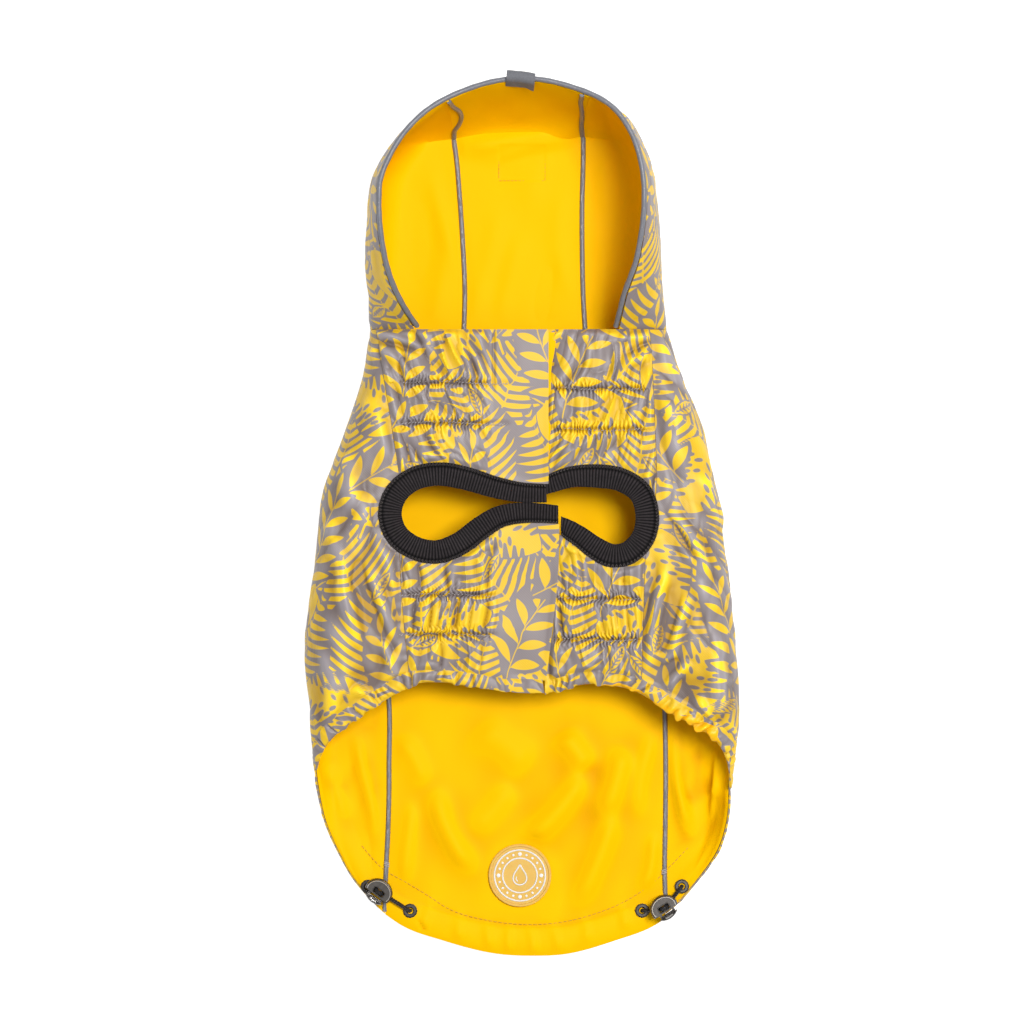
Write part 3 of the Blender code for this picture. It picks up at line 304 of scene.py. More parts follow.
# kind, x, y, turn, size, bend side: laid in this order, each over the ones before it
motifs = (
    ("frond", 14, 6, 64, 118, 1), ("frond", 74, 40, 112, 112, -1), ("frond", 132, 10, 60, 116, 1),
    ("frond", 188, 40, 120, 116, -1), ("frond", 30, 84, 72, 108, -1), ("frond", 100, 100, 126, 118, 1),
    ("frond", 158, 96, 84, 112, -1), ("frond", 46, 150, 34, 112, -1), ("frond", 112, 170, 96, 116, 1),
    ("frond", 176, 158, 132, 112, -1),
    ("split", 98, 52, 250, 50, 1), ("split", 200, 92, 200, 48, 1), ("split", 60, 116, 300, 50, 1),
    ("split", 146, 136, 20, 48, 1), ("split", 24, 34, 160, 46, 1), ("split", 78, 196, 130, 50, 1),
    ("split", 182, 200, 330, 46, 1),
    ("sprig", 54, 12, 80, 72, 1), ("sprig", 128, 84, 142, 76, -1), ("sprig", 196, 136, 62, 76, 1),
    ("sprig", 92, 150, 66, 70, -1), ("sprig", 160, 36, 112, 72, 1), ("sprig", 22, 178, 40, 72, -1),
    ("bud", 80, 78, 70, 22, 1), ("bud", 116, 124, 20, 21, 1), ("bud", 2, 60, 310, 22, 1),
    ("bud", 168, 176, 240, 21, 1), ("bud", 58, 168, 160, 22, 1), ("bud", 36, 62, 330, 20, 1),
    ("bud", 108, 6, 110, 20, 1), ("bud", 196, 66, 60, 20, 1),
)


def printInk(x, y, start):
    # how far inside the yellow ink each point of the cloth is; below 0 is bare grey
    x, y = (x + start[0]) / printScale, (y + start[1]) / printScale
    ink = np.full(x.shape, -6.0)
    for kind, px, py, turn, size, bend in motifs:
        draw, spread = motifInk[kind]
        dx = (x - px + 0.5 * printRepeat) % printRepeat - 0.5 * printRepeat
        dy = (y - py + 0.5 * printRepeat) % printRepeat - 0.5 * printRepeat
        near = np.hypot(dx, dy) < spread * size
        u, v = turned(dx[near], dy[near], turn)
        drawn, body = draw(u + 0.5 * size, v * bend, size)
        ink[near] = np.maximum(drawn, np.minimum(ink[near], -body - inkGap))
    return ink * printScale


# materials: sRGB hex colours, patterns at real sizes in millimetres

def linear(hexColour):
    parts = [int(hexColour[i:i + 2], 16) / 255.0 for i in (1, 3, 5)]
    return tuple(p / 12.92 if p <= 0.04045 else ((p + 0.055) / 1.055) ** 2.4 for p in parts) + (1.0,)


def newMaterial(name):
    made = bpy.data.materials.new(name)
    made.use_nodes = True
    made.node_tree.nodes.clear()
    return made, made.node_tree


def addNode(tree, kind, inputs=None, **settings):
    node = tree.nodes.new(kind)
    for key, value in settings.items():
        setattr(node, key, value)
    for key, value in (inputs or {}).items():
        if isinstance(value, bpy.types.NodeSocket):
            tree.links.new(value, node.inputs[key])
        else:
            node.inputs[key].default_value = value
    return node


def weaveBump(tree, place, perMillimetre, strength, distance, height):
    # threads over and under each other, as crossed waves that raise each other in turn
    scale = perMillimetre * 1000.0 * math.pi
    parts = addNode(tree, "ShaderNodeSeparateXYZ", {"Vector": place})
    waves = []
    for axis in "XYZ":
        angle = addNode(tree, "ShaderNodeMath", {0: parts.outputs[axis], 1: scale}, operation="MULTIPLY")
        wave = addNode(tree, "ShaderNodeMath", {0: angle.outputs[0]}, operation="SINE")
        waves.append(wave.outputs[0])
    total = addNode(tree, "ShaderNodeMath", {0: waves[0], 1: waves[1]}, operation="MULTIPLY").outputs[0]
    for added in (waves[2], height):
        total = addNode(tree, "ShaderNodeMath", {0: total, 1: added}, operation="ADD").outputs[0]
    bump = addNode(tree, "ShaderNodeBump", {"Height": total, "Strength": strength, "Distance": distance})
    return bump.outputs["Normal"]


def speckled(tree, place, scale, dark, light, detail=3.0):
    # a fine noise, and two close colours mixed by it
    noise = addNode(tree, "ShaderNodeTexNoise", {"Vector": place, "Scale": scale, "Detail": detail})
    colour = addNode(tree, "ShaderNodeMix", {"Factor": noise.outputs[0], 6: linear(dark), 7: linear(light)},
                     data_type="RGBA").outputs[2]
    return noise.outputs[0], colour


def finishMaterial(made, settings):
    shader = addNode(made.node_tree, "ShaderNodeBsdfPrincipled", settings)
    addNode(made.node_tree, "ShaderNodeOutputMaterial", {"Surface": shader.outputs["BSDF"]})
    return made


def printedPolyester():
    # plain-woven polyester, screen printed: satin, with the ink a little flatter than the ground
    made, tree = newMaterial("printed_polyester")
    place = addNode(tree, "ShaderNodeTexCoord").outputs["Object"]
    ink = addNode(tree, "ShaderNodeAttribute", attribute_name="ink").outputs["Fac"]
    folded = addNode(tree, "ShaderNodeAttribute", attribute_name="turnedOut").outputs["Fac"]
    edge = addNode(tree, "ShaderNodeMapRange", {"Value": ink, "From Min": -0.14, "From Max": 0.14}).outputs[0]
    lined = addNode(tree, "ShaderNodeMapRange", {"Value": folded, "From Min": 0.15,
                                                 "From Max": 0.35}).outputs[0]
    cloudy, ground = speckled(tree, place, 45.0, "#867F82", "#938C8F")
    yellow = addNode(tree, "ShaderNodeMix", {"Factor": cloudy, 6: linear("#EDC41A"), 7: linear("#F4CD26")},
                     data_type="RGBA").outputs[2]
    printed = addNode(tree, "ShaderNodeMix", {"Factor": edge, 6: ground, 7: yellow},
                      data_type="RGBA").outputs[2]
    flat = addNode(tree, "ShaderNodeMix", {"Factor": lined, 6: printed, 7: linear("#FFC400")},
                   data_type="RGBA").outputs[2]
    # painted shade between the folds and painted highlight on their ridges: the colour is multiplied by a
    # factor read from the fold mark
    paintedFoldShade = addNode(tree, "ShaderNodeAttribute", attribute_name="paintedFoldShade").outputs["Fac"]
    depth = addNode(tree, "ShaderNodeMapRange", {"Value": paintedFoldShade, "From Min": -1.0}).outputs[0]
    shade = addNode(tree, "ShaderNodeMix", {"Factor": depth, 6: (1.12, 1.12, 1.12, 1.0),
                                            7: (0.50, 0.42, 0.36, 1.0)}, data_type="RGBA").outputs[2]
    colour = addNode(tree, "ShaderNodeMix", {"Factor": 1.0, 6: flat, 7: shade}, data_type="RGBA",
                     blend_type="MULTIPLY").outputs[2]
    rough = addNode(tree, "ShaderNodeMapRange", {"Value": edge, "To Min": 0.42, "To Max": 0.50}).outputs[0]
    crumple = addNode(tree, "ShaderNodeTexNoise", {"Vector": place, "Scale": 260.0, "Detail": 4.0}).outputs[0]
    normal = weaveBump(tree, place, 1.6, 0.16, 0.00012, crumple)
    return finishMaterial(made, {"Base Color": colour, "Roughness": rough, "Normal": normal,
                                 "Specular IOR Level": 0.40, "Sheen Weight": 0.02, "Sheen Roughness": 0.4})


def coatedLining():
    # nylon taffeta with a thin polyurethane coat: even, bright and softly shining
    made, tree = newMaterial("coated_nylon_lining")
    place = addNode(tree, "ShaderNodeTexCoord").outputs["Object"]
    _, flat = speckled(tree, place, 22.0, "#EDB500", "#F1B900")
    # painted shade: the colour darkens towards deep orange #C88400 between the folds
    paintedFoldShade = addNode(tree, "ShaderNodeAttribute", attribute_name="paintedFoldShade").outputs["Fac"]
    depth = addNode(tree, "ShaderNodeMapRange", {"Value": paintedFoldShade}).outputs[0]
    colour = addNode(tree, "ShaderNodeMix", {"Factor": depth, 6: flat, 7: linear("#C88400")},
                     data_type="RGBA").outputs[2]
    soft = addNode(tree, "ShaderNodeTexNoise", {"Vector": place, "Scale": 120.0, "Detail": 4.0}).outputs[0]
    normal = weaveBump(tree, place, 1.4, 0.10, 0.0001, soft)
    return finishMaterial(made, {"Base Color": colour, "Roughness": 0.55, "Normal": normal,
                                 "Specular IOR Level": 0.03})


def ribKnit():
    # cotton rib knit, near black: each rib is in the mesh, with painted highlight on its crest and painted
    # shade in the grooves between, and the loops are in the bump
    made, tree = newMaterial("rib_knit")
    place = addNode(tree, "ShaderNodeTexCoord").outputs["Object"]
    crest = addNode(tree, "ShaderNodeAttribute", attribute_name="crest").outputs["Fac"]
    fuzz, paintedCrestLight = speckled(tree, place, 900.0, "#241F20", "#443E40", 5.0)
    # the grooves are painted near black as shade, the crests painted lighter as their highlight
    colour = addNode(tree, "ShaderNodeMix", {"Factor": crest, 6: linear("#030203"), 7: paintedCrestLight},
                     data_type="RGBA").outputs[2]
    normal = weaveBump(tree, place, 1.0, 0.35, 0.0002, fuzz)
    return finishMaterial(made, {"Base Color": colour, "Roughness": 0.8, "Normal": normal,
                                 "Specular IOR Level": 0.15, "Sheen Weight": 0.04, "Sheen Roughness": 0.5})


def plainFinish(name, dark, light, roughness, scale, bump, metallic=0.0, sheen=0.0):
    # tape, thread, cord or plated metal: two close colours and a bump in the same fine grain
    made, tree = newMaterial(name)
    place = addNode(tree, "ShaderNodeTexCoord").outputs["Object"]
    speck, colour = speckled(tree, place, scale, dark, light)
    grain = addNode(tree, "ShaderNodeBump", {"Height": speck, "Strength": bump, "Distance": 0.0001})
    return finishMaterial(made, {"Base Color": colour, "Roughness": roughness, "Metallic": metallic,
                                 "Normal": grain.outputs[0], "Sheen Weight": sheen,
                                 "Specular IOR Level": 0.5})


def amberRubber():
    # moulded translucent silicone: warm, a little light goes through it
    made, tree = newMaterial("amber_silicone")
    place = addNode(tree, "ShaderNodeTexCoord").outputs["Object"]
    _, colour = speckled(tree, place, 160.0, "#CFA446", "#DAB054")
    return finishMaterial(made, {"Base Color": colour, "Roughness": 0.30, "Subsurface Weight": 0.25,
                                 "Subsurface Radius": (0.004, 0.002, 0.0006), "Subsurface Scale": 0.4,
                                 "Specular IOR Level": 0.5})


finishes = {
    "print": printedPolyester(),
    "lining": coatedLining(),
    "rib": ribKnit(),
    "binding": plainFinish("reflective_tape", "#606168", "#7A7B82", 0.42, 700.0, 0.5),
    "tape": plainFinish("woven_label_tape", "#55565B", "#737479", 0.8, 1400.0, 0.8),
    "amber": amberRubber(),
    "white": plainFinish("raised_white_print", "#D6D2CE", "#E4E0DC", 0.5, 500.0, 0.2),
    "metal": plainFinish("gunmetal_plating", "#4C4845", "#66625E", 0.30, 500.0, 0.12, metallic=1.0),
    # painted highlight: the lock rims take a lighter copy of the gunmetal plating
    "rimMetal": plainFinish("rim_highlight_plating", "#B4B0AC", "#D2CEC8", 0.22, 400.0, 0.1, metallic=1.0),
    "cord": plainFinish("braided_elastic_cord", "#121112", "#262426", 0.4, 1600.0, 0.5, sheen=0.05),
    "greyThread": plainFinish("grey_polyester_thread", "#8E888A", "#B5AFB0", 0.6, 2000.0, 0.4),
    "yellowThread": plainFinish("yellow_polyester_thread", "#B88C12", "#CCA01E", 0.6, 2000.0, 0.4),
    "paleThread": plainFinish("pale_overlock_thread", "#55514D", "#7C7772", 0.7, 2000.0, 0.4),
}
print("materials made")


# making meshes

def pickNothing():
    for item in bpy.context.selected_objects:
        item.select_set(False)


def pickOnly(piece):
    pickNothing()
    bpy.context.view_layer.objects.active = piece
    piece.select_set(True)


def joined(pieces, name):
    pickOnly(pieces[0])
    for piece in pieces:
        piece.select_set(True)
    if len(pieces) > 1:
        bpy.ops.object.join()
    pieces[0].name = name
    pieces[0].data.name = name
    return pieces[0]


def settle(piece, finish, body="coat", nodes=()):
    # finish, slot, body and what the piece stands for
    names = finish if isinstance(finish, tuple) else (finish,)
    while len(piece.data.materials) < len(names):
        piece.data.materials.append(None)
    for number in range(len(piece.data.materials)):
        piece.data.materials[number] = finishes[names[min(number, len(names) - 1)]]
    if nodes:
        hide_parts(*nodes)
    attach(piece, body)
    return piece


def gridPiece(name, points, facing):
    # a primitive grid whose points are moved to the given places, in metres
    rows, columns = points.shape[:2]
    pickNothing()
    bpy.ops.mesh.primitive_grid_add(x_subdivisions=columns - 1, y_subdivisions=rows - 1, size=1.0)
    piece = bpy.context.object
    piece.name = name
    piece.data.name = name
    mesh = piece.data
    flat = np.empty(len(mesh.vertices) * 3)
    mesh.vertices.foreach_get("co", flat)
    flat = flat.reshape(-1, 3)
    column = np.rint((flat[:, 0] + 0.5) * (columns - 1)).astype(int)
    row = np.rint((flat[:, 1] + 0.5) * (rows - 1)).astype(int)
    mesh.vertices.foreach_set("co", toFrame(points)[row, column].ravel())
    normal = np.cross(np.gradient(points, axis=1), np.gradient(points, axis=0))
    if (normal * facing).sum() < 0:
        mesh.flip_normals()
    mesh.update()
    return piece, row, column


def applyModifiers(piece):
    pickOnly(piece)
    for modifier in list(piece.modifiers):
        bpy.ops.object.modifier_apply(modifier=modifier.name)


def smoothByAngle(piece, degrees=50.0):
    pickOnly(piece)
    bpy.ops.object.shade_smooth_by_angle(angle=math.radians(degrees))


def thinnedOut(count, step):
    return np.unique(np.linspace(0, count - 1, max(count // step, 3)).astype(int))


def clothSheet(name, points, normal, finish, thickness=0.4, marks=None, nodes=(), inside=None,
               step=3):
    # cloth whose shown face is `points`; its inside is either solidified or a looser grid sewn on all round
    piece, row, column = gridPiece(name, points, normal)
    for mark, field in (marks or {}).items():
        values = piece.data.attributes.new(mark, "FLOAT", "POINT")
        values.data.foreach_set("value", field[row, column].ravel())
    if inside is None:
        wall = piece.modifiers.new("cloth thickness", "SOLIDIFY")
        wall.thickness = thickness * mm
        wall.offset = -1.0
        settle(piece, finish, nodes=nodes)
        applyModifiers(piece)
    else:
        rows, columns = (thinnedOut(count, step) for count in inside.shape[:2])
        hidden = (inside - normal * thickness)[np.ix_(rows, columns)]
        backing, _, _ = gridPiece(f"{name}_inside", hidden, -normal[np.ix_(rows, columns)])
        for half in (piece, piece, backing, backing):
            half.data.materials.append(None)
        backing.data.polygons.foreach_set("material_index", np.ones(len(backing.data.polygons), dtype=int))
        joined((piece, backing), name)
        bpy.ops.object.mode_set(mode="EDIT")
        bpy.ops.mesh.select_mode(type="EDGE")
        bpy.ops.mesh.select_all(action="DESELECT")
        bpy.ops.mesh.select_non_manifold()
        bpy.ops.mesh.bridge_edge_loops()
        bpy.ops.object.mode_set(mode="OBJECT")
        settle(piece, finish, nodes=nodes)
    smoothByAngle(piece)
    return piece


def pathCurve(name, points):
    # a poly curve through the points, for bevels and for stitches to follow
    pickNothing()
    bpy.ops.curve.primitive_nurbs_path_add()
    curve = bpy.context.object
    curve.name = name
    curve.data.splines.clear()
    spline = curve.data.splines.new("POLY")
    places = toFrame(points)
    spline.points.add(len(places) - 1)
    spline.points.foreach_set("co", np.concatenate((places, np.ones((len(places), 1))), axis=1).ravel())
    curve.data.dimensions = "3D"
    curve.data.twist_mode = "Z_UP"
    return curve


def tubeAlong(name, points, radius, finish, sides=8, nodes=(), body="coat", wobble=None):
    # a round tube: the path is given a bevel and turned to a mesh
    curve = pathCurve(name, points)
    if wobble is not None:
        curve.data.splines[0].points.foreach_set("radius", np.asarray(wobble, dtype=float))
    curve.data.bevel_depth = radius * mm
    curve.data.bevel_resolution = max(sides // 4 - 1, 0)
    curve.data.use_fill_caps = True
    pickOnly(curve)
    bpy.ops.object.convert(target="MESH")
    piece = bpy.context.object
    piece.data.name = name
    settle(piece, finish, body, nodes)
    smoothByAngle(piece, 60.0)
    return piece


stitches = {
    "shirring": {"pitch": 1.9, "length": 1.6, "radius": 0.21, "slant": 0.45},
    "patch": {"pitch": 1.9, "length": 1.4, "radius": 0.15},
    "rim": {"pitch": 2.4, "length": 1.7, "radius": 0.15},
    "cross": {"pitch": 2.6, "length": 2.6, "radius": 0.24},
    "channel": {"pitch": 2.5, "length": 1.8, "radius": 0.2},
}


def stitchRow(name, paths, finish, stitch):
    # one thread stitch, repeated along each path: a short bar that dips into the cloth at both ends
    rows = []
    for path in paths:
        curve = pathCurve(f"{name}_path", path)
        pickNothing()
        bpy.ops.mesh.primitive_cylinder_add(vertices=6, radius=stitch["radius"] * mm,
                                            depth=stitch["length"] * mm, rotation=(0.0, math.pi / 2, 0.0))
        bar = bpy.context.object
        bpy.ops.object.mode_set(mode="EDIT")
        bpy.ops.mesh.select_all(action="SELECT")
        bpy.ops.mesh.subdivide(number_cuts=1)
        bpy.ops.object.mode_set(mode="OBJECT")
        bpy.ops.object.transform_apply(location=False, rotation=True, scale=False)
        for vertex in bar.data.vertices:
            if abs(vertex.co.x) > 0.3 * stitch["length"] * mm:
                vertex.co.z -= 0.9 * stitch["radius"] * mm
            vertex.co.y += stitch.get("slant", 0.0) * vertex.co.x
            vertex.co.x += 0.5 * stitch["pitch"] * mm
        array = bar.modifiers.new("row", "ARRAY")
        array.count = max(int(lengthOf(np.asarray(path)) / stitch["pitch"]), 1)
        array.use_relative_offset = False
        array.use_constant_offset = True
        array.constant_offset_displace = (stitch["pitch"] * mm, 0.0, 0.0)
        follow = bar.modifiers.new("along the seam", "CURVE")
        follow.object = curve
        applyModifiers(bar)
        bpy.data.objects.remove(curve)
        rows.append(bar)
    smoothByAngle(settle(joined(rows, name), finish), 60.0)


# camera and drawcords

view = {"x": -0.00525, "y": 0.0034, "width": 0.512, "lens": 200.0, "sensor": 36.0}
lens = bpy.data.cameras.new("camera")
lens.lens = view["lens"]
lens.sensor_width = view["sensor"]
lens.clip_end = 20.0
camera = bpy.data.objects.new("camera", lens)
bpy.context.scene.collection.objects.link(camera)
camera.location = (view["x"], view["y"], view["width"] * view["lens"] / view["sensor"])
bpy.context.scene.camera = camera

# the cord locks as the solids have them: middle, turn, height of the underside, and the oval's size
lock = {"left": (-71.6, -188.6, -36.9), "right": (70.4, -196.6, 33.5), "bottom": 7.0, "length": 14.5,
        "width": 12.6, "height": 6.4, "rimInset": 1.25, "rimRadius": 0.45,
        "lip": (3.2, 1.65), "lipRadius": 0.26, "grips": (-3.35, -3.75, -4.15), "gripRadius": 0.18,
        "shellFrom": -2.2, "headTo": -4.4, "strand": 1.6, "tongueTop": 1.5}
eyelets = {"left": ((-77.2, -186.6), (-56.1, -198.6)), "right": ((79.6, -186.4), (59.8, -198.5))}


braid = {"core": 0.68, "strand": 0.27, "out": 0.72, "weave": 0.12, "turn": 5.2, "points": 150}


def lockPlace(side, ahead, across, height):
    # a place on a lock, from its own length and width
    x, y, turn = lock[side]
    c, s = math.cos(math.radians(turn)), math.sin(math.radians(turn))
    return (x + ahead * c - across * s, y + ahead * s + across * c, height)


def cordRoute(side):
    # the drawcord's loop: out of one eyelet, under the lock, up through its slot and back to the other eyelet
    toward = -signOf[side]
    top, level = lock["bottom"] + lock["height"], lock["bottom"] - 1.3
    ends = []
    for (x, y), sense in zip(eyelets[side], (-toward, toward)):
        foot = np.array(lockPlace(side, sense * (lock["strand"] + 0.8), 0.0, level))
        mouth = np.array((x, y, 0.0))
        away = (foot - mouth) * (1.0, 1.0, 0.0)
        away /= np.linalg.norm(away)
        ends.append([(x, y, 1.6), (x, y, 3.2), mouth + away * 0.2 + (0.0, 0.0, 4.4),
                     mouth + away * 1.2 + (0.0, 0.0, level - 0.1), mouth + away * 2.8 + (0.0, 0.0, level),
                     foot - away * 1.6, foot])
    strand, low = lock["strand"], lock["bottom"] + 1.6
    rises = ((-strand, low), (-strand, top - 1.2), (-1.1, top + 0.2), (0.0, top + 0.7), (1.1, top + 0.2),
             (strand, top - 1.2), (strand, low))
    over = [lockPlace(side, toward * place, 0.0, height) for place, height in rises]
    return curveThrough(ends[0] + over + ends[1][::-1], braid["points"])


def makeCord(side):
    # a core with eight strands braided round it, each over one and under the next
    path = cordRoute(side)
    heading = unit(np.gradient(path, axis=0))
    aside = np.cross(heading, (0.35, 0.2, 0.9))
    for index in range(1, len(path)):
        carried = aside[index - 1] - heading[index] * aside[index - 1].dot(heading[index])
        aside[index] = carried / np.linalg.norm(carried)
    aside[0] /= np.linalg.norm(aside[0])
    other = np.cross(heading, aside)
    travel = travelled(path)
    angle = 2.0 * math.pi * travel / braid["turn"]
    parts = [tubeAlong(f"cord_{side}", path, braid["core"], "cord", nodes=(f"drawcord_{side}",))]
    for sense in (1.0, -1.0):
        for start in np.arange(4) * math.pi / 2.0:
            turn = sense * angle + start
            out = braid["out"] + braid["weave"] * sense * np.cos(4.0 * angle)
            strand = path + out[:, None] * (np.cos(turn)[:, None] * aside + np.sin(turn)[:, None] * other)
            parts.append(tubeAlong(f"strand_{side}", strand, braid["strand"], "cord", sides=4))
    cord = joined(parts, f"drawcord_braid_{side}")


for side in signOf:
    makeCord(side)
print("drawcords made")


# the body's surface, as the solids have it

bodySections = {
    "left": Table(
        "y seam side roll mid top wrap bellySeam",
        (91.0, 29.3, 75.8, 14.0, 13.0, 28.0, 1.0, 72.3),
        (72.0, 38.5, 79.0, 15.0, 14.0, 31.0, 1.0, 69.5),
        (42.0, 54.5, 88.3, 16.0, 15.0, 34.0, 1.0, 64.5),
        (12.0, 64.5, 98.8, 17.0, 16.0, 35.0, 1.0, 60.5),
        (-19.0, 67.5, 102.3, 17.0, 16.0, 35.0, 1.0, 60.8),
        (-49.0, 67.8, 106.3, 17.0, 16.0, 34.0, 1.0, 59.2),
        (-79.0, 67.4, 107.8, 16.0, 15.0, 31.0, 1.0, 56.4),
        (-105.0, 66.6, 105.5, 14.0, 14.0, 27.0, 1.0, 55.3),
        (-125.0, 67.0, 104.2, 12.0, 12.0, 22.0, 1.0, 55.3),
        (-139.0, 67.0, 102.7, 10.0, 10.0, 18.0, 0.85, 55.3),
        (-154.0, 67.3, 100.2, 9.0, 8.0, 14.0, 0.7, 55.3),
        (-169.0, 67.8, 94.8, 8.0, 6.5, 11.0, 0.55, 55.3),
        (-184.0, 68.3, 87.0, 7.0, 5.0, 9.0, 0.45, 55.3),
        (-194.0, 68.6, 78.0, 5.0, 4.0, 7.0, 0.4, 55.3),
    ),
    "right": Table(
        "y seam side roll mid top wrap bellySeam",
        (91.0, 31.3, 71.8, 13.0, 13.0, 28.0, 1.0, 63.0),
        (72.0, 40.0, 77.6, 15.0, 14.0, 31.0, 1.0, 64.2),
        (42.0, 55.5, 89.5, 16.0, 15.0, 34.0, 1.0, 65.4),
        (12.0, 63.5, 96.2, 17.0, 16.0, 35.0, 1.0, 66.0),
        (-19.0, 66.5, 100.9, 17.0, 16.0, 35.0, 1.0, 61.0),
        (-49.0, 68.6, 104.8, 17.0, 16.0, 34.0, 1.0, 59.8),
        (-79.0, 70.2, 107.2, 16.0, 16.0, 32.0, 1.0, 59.0),
        (-105.0, 71.0, 107.5, 14.0, 15.0, 29.0, 1.0, 58.8),
        (-125.0, 71.2, 105.4, 13.0, 15.0, 26.0, 1.1, 58.8),
        (-139.0, 71.2, 103.8, 12.0, 15.0, 24.0, 1.05, 58.8),
        (-154.0, 71.1, 102.5, 11.0, 14.0, 20.0, 0.95, 58.8),
        (-169.0, 71.0, 98.2, 10.0, 11.0, 16.0, 0.85, 58.8),
        (-184.0, 71.2, 89.2, 7.0, 6.0, 11.0, 0.6, 58.8),
        (-194.0, 71.6, 81.5, 5.0, 4.0, 7.0, 0.45, 58.8),
    ),
}
bellyMiddle = Table("y height", (91.0, 29.0), (60.0, 31.0), (0.0, 30.0), (-60.0, 29.0), (-91.0, 27.0))
placketLine = {
    "upper": Table("y x", (91.0, 12.8), (50.0, 12.8), (0.0, 12.8)),
    "lower": Table("y x", (0.0, 18.2), (-28.0, 17.6), (-57.0, 14.8), (-89.0, 10.8)),
}
placket = {"band": 27.0, "underlap": 9.0, "step": cloth["belly"] + cloth["gap"], "run": 10.0}
hem = {"casing": 6.0, "casingGap": 0.4, "foot": -193.8, "slant": 6.4, "endTurn": 8.0, "turnedOver": 3.0,
       "channel": 15.0, "channelLift": 1.2, "corner": {"left": -129.2, "right": -138.2}}
bellyHemLine = {
    "left": ((10.8, -89.3), (-8.8, -88.5), (-23.3, -86.3), (-40.8, -84.0), (-52.8, -84.8),
             (-60.0, -88.0), (-67.3, -92.5), (-76.3, -98.0), (-85.5, -104.5), (-94.0, -111.5),
             (-100.0, -119.0), (-103.3, -128.0)),
    "right": ((11.1, -89.3), (16.3, -88.5), (29.6, -85.0), (44.3, -85.5), (56.0, -88.5),
              (64.0, -93.0), (73.0, -99.0), (83.8, -105.0), (93.5, -111.0), (100.0, -118.5),
              (103.2, -128.0), (103.8, -137.0)),
}
backHem = Table("x y", (-71.8, -198.5), (-60.8, -206.0), (-40.3, -213.5), (-9.8, -220.6),
                (5.0, -221.2), (19.8, -220.6), (46.8, -213.5), (66.3, -206.0), (77.3, -198.5))
ribs = {"width": 11.0, "endWidth": 0.78, "clearance": 0.6, "lift": 0.9, "pitch": 1.45, "core": 0.9,
        "squareEnd": 0.05, "narrowEnd": 0.22, "thread": 0.15,
        "seamAt": 0.76, "serged": 0.98, "wall": 2.2, "overlock": 0.72}
ribLine = {
    "left": ((11.9, 9.5), (-1.3, 10.0), (-13.8, 12.5), (-28.8, 17.0), (-41.3, 19.0),
             (-53.8, 16.5), (-62.6, 9.0), (-65.3, 0.5), (-62.3, -10.0), (-53.8, -16.8),
             (-42.8, -19.0), (-31.3, -15.0), (-21.3, -7.5), (-11.3, -1.5), (-1.3, 0.3),
             (9.0, 0.2), (17.6, -0.6)),
    "right": ((11.4, 13.5), (23.8, 17.5), (36.3, 18.0), (48.8, 16.0), (57.8, 10.0),
              (61.2, 0.0), (59.0, -12.5), (50.5, -20.2), (44.0, -20.8), (36.0, -17.0),
              (27.5, -10.8), (19.0, -6.0)),
}


def placketEdge(y):
    return placketLine["upper" if y > 0.0 else "lower"].at(y)["x"]


def topHeight(x, y, under=False):
    # height of the coat's upper face at a place seen from above
    row = bodySections["left" if x < 0 else "right"].at(y)
    inner = row["side"] - row["roll"]
    if abs(x) > inner:
        turn = min((abs(x) - inner) / row["roll"], 1.0)
        return row["mid"] + (row["top"] - row["mid"]) * math.sqrt(1.0 - turn * turn)
    middleHeight = bellyMiddle.at(y)["height"]
    height = middleHeight + (row["top"] - middleHeight) * ease(abs(x) / inner)
    if under:
        height -= placket["step"] * ease(1.0 - (x - placketEdge(y)) / placket["run"])
    return float(height)


def crossing(line, axis, value, pick):
    # where a plan line crosses a value of one axis: the other axis there, picked from all its crossings
    start, end = line[:-1], line[1:]
    low, high = np.minimum(start[:, axis], end[:, axis]), np.maximum(start[:, axis], end[:, axis])
    hit = (low <= value) & (value <= high) & (high > low)
    if not hit.any():
        return None
    share = (value - start[hit, axis]) / (end[hit, axis] - start[hit, axis])
    return float(pick(start[hit, 1 - axis] + share * (end[hit, 1 - axis] - start[hit, 1 - axis])))


def section(side, y):
    # distances round the section from its outermost point, and its points, from the back seam to the belly
    row = bodySections[side].at(y)
    inner = row["side"] - row["roll"]
    turn = np.linspace(0.0, math.pi / 2, 12)
    floor = [(x, 0.0) for x in np.linspace(row["seam"], inner, 4)[:-1]]
    lower = [(inner + row["roll"] * math.sin(a), row["mid"] * (1.0 - math.cos(a))) for a in turn]
    upper = [(inner + row["roll"] * math.cos(a), row["mid"] + (row["top"] - row["mid"]) * math.sin(a))
             for a in turn[1:]]
    top = [(x, topHeight(signOf[side] * x, y)) for x in np.linspace(inner, -20.0, 24)[1:]]
    points = np.array(floor + lower + upper + top)
    distance = travelled(points)
    return distance - distance[len(floor) + len(lower) - 1], points


def onBody(side, distances, y):
    # places at distances round the section
    reach, points = section(side, y)
    across = np.interp(distances, reach, points[:, 0])
    height = np.interp(distances, reach, points[:, 1])
    return np.stack((signOf[side] * across, np.full_like(across, y), height), axis=-1)


def roundAt(side, x, y):
    # distance round the section to a place seen from above
    reach, points = section(side, y)
    upper = reach >= 0.0
    return float(np.interp(-signOf[side] * x, -points[upper, 0], reach[upper]))


def casingLines(side):
    # the belly's hem round the section, and the way into the cloth from it
    edge = curveThrough(bellyHemLine[side], 60)
    edge[:, 0] = [roundAt(side, x, y) for x, y in edge]
    heading = unit(np.gradient(edge, axis=0))
    into = np.stack((heading[:, 1], -heading[:, 0]), axis=1)
    square = 1.0 - np.clip(travelled(edge) / hem["endTurn"], 0.0, 1.0)[:, None]
    return edge, unit(into * (1.0 - square) + np.array((0.0, 1.0)) * square)


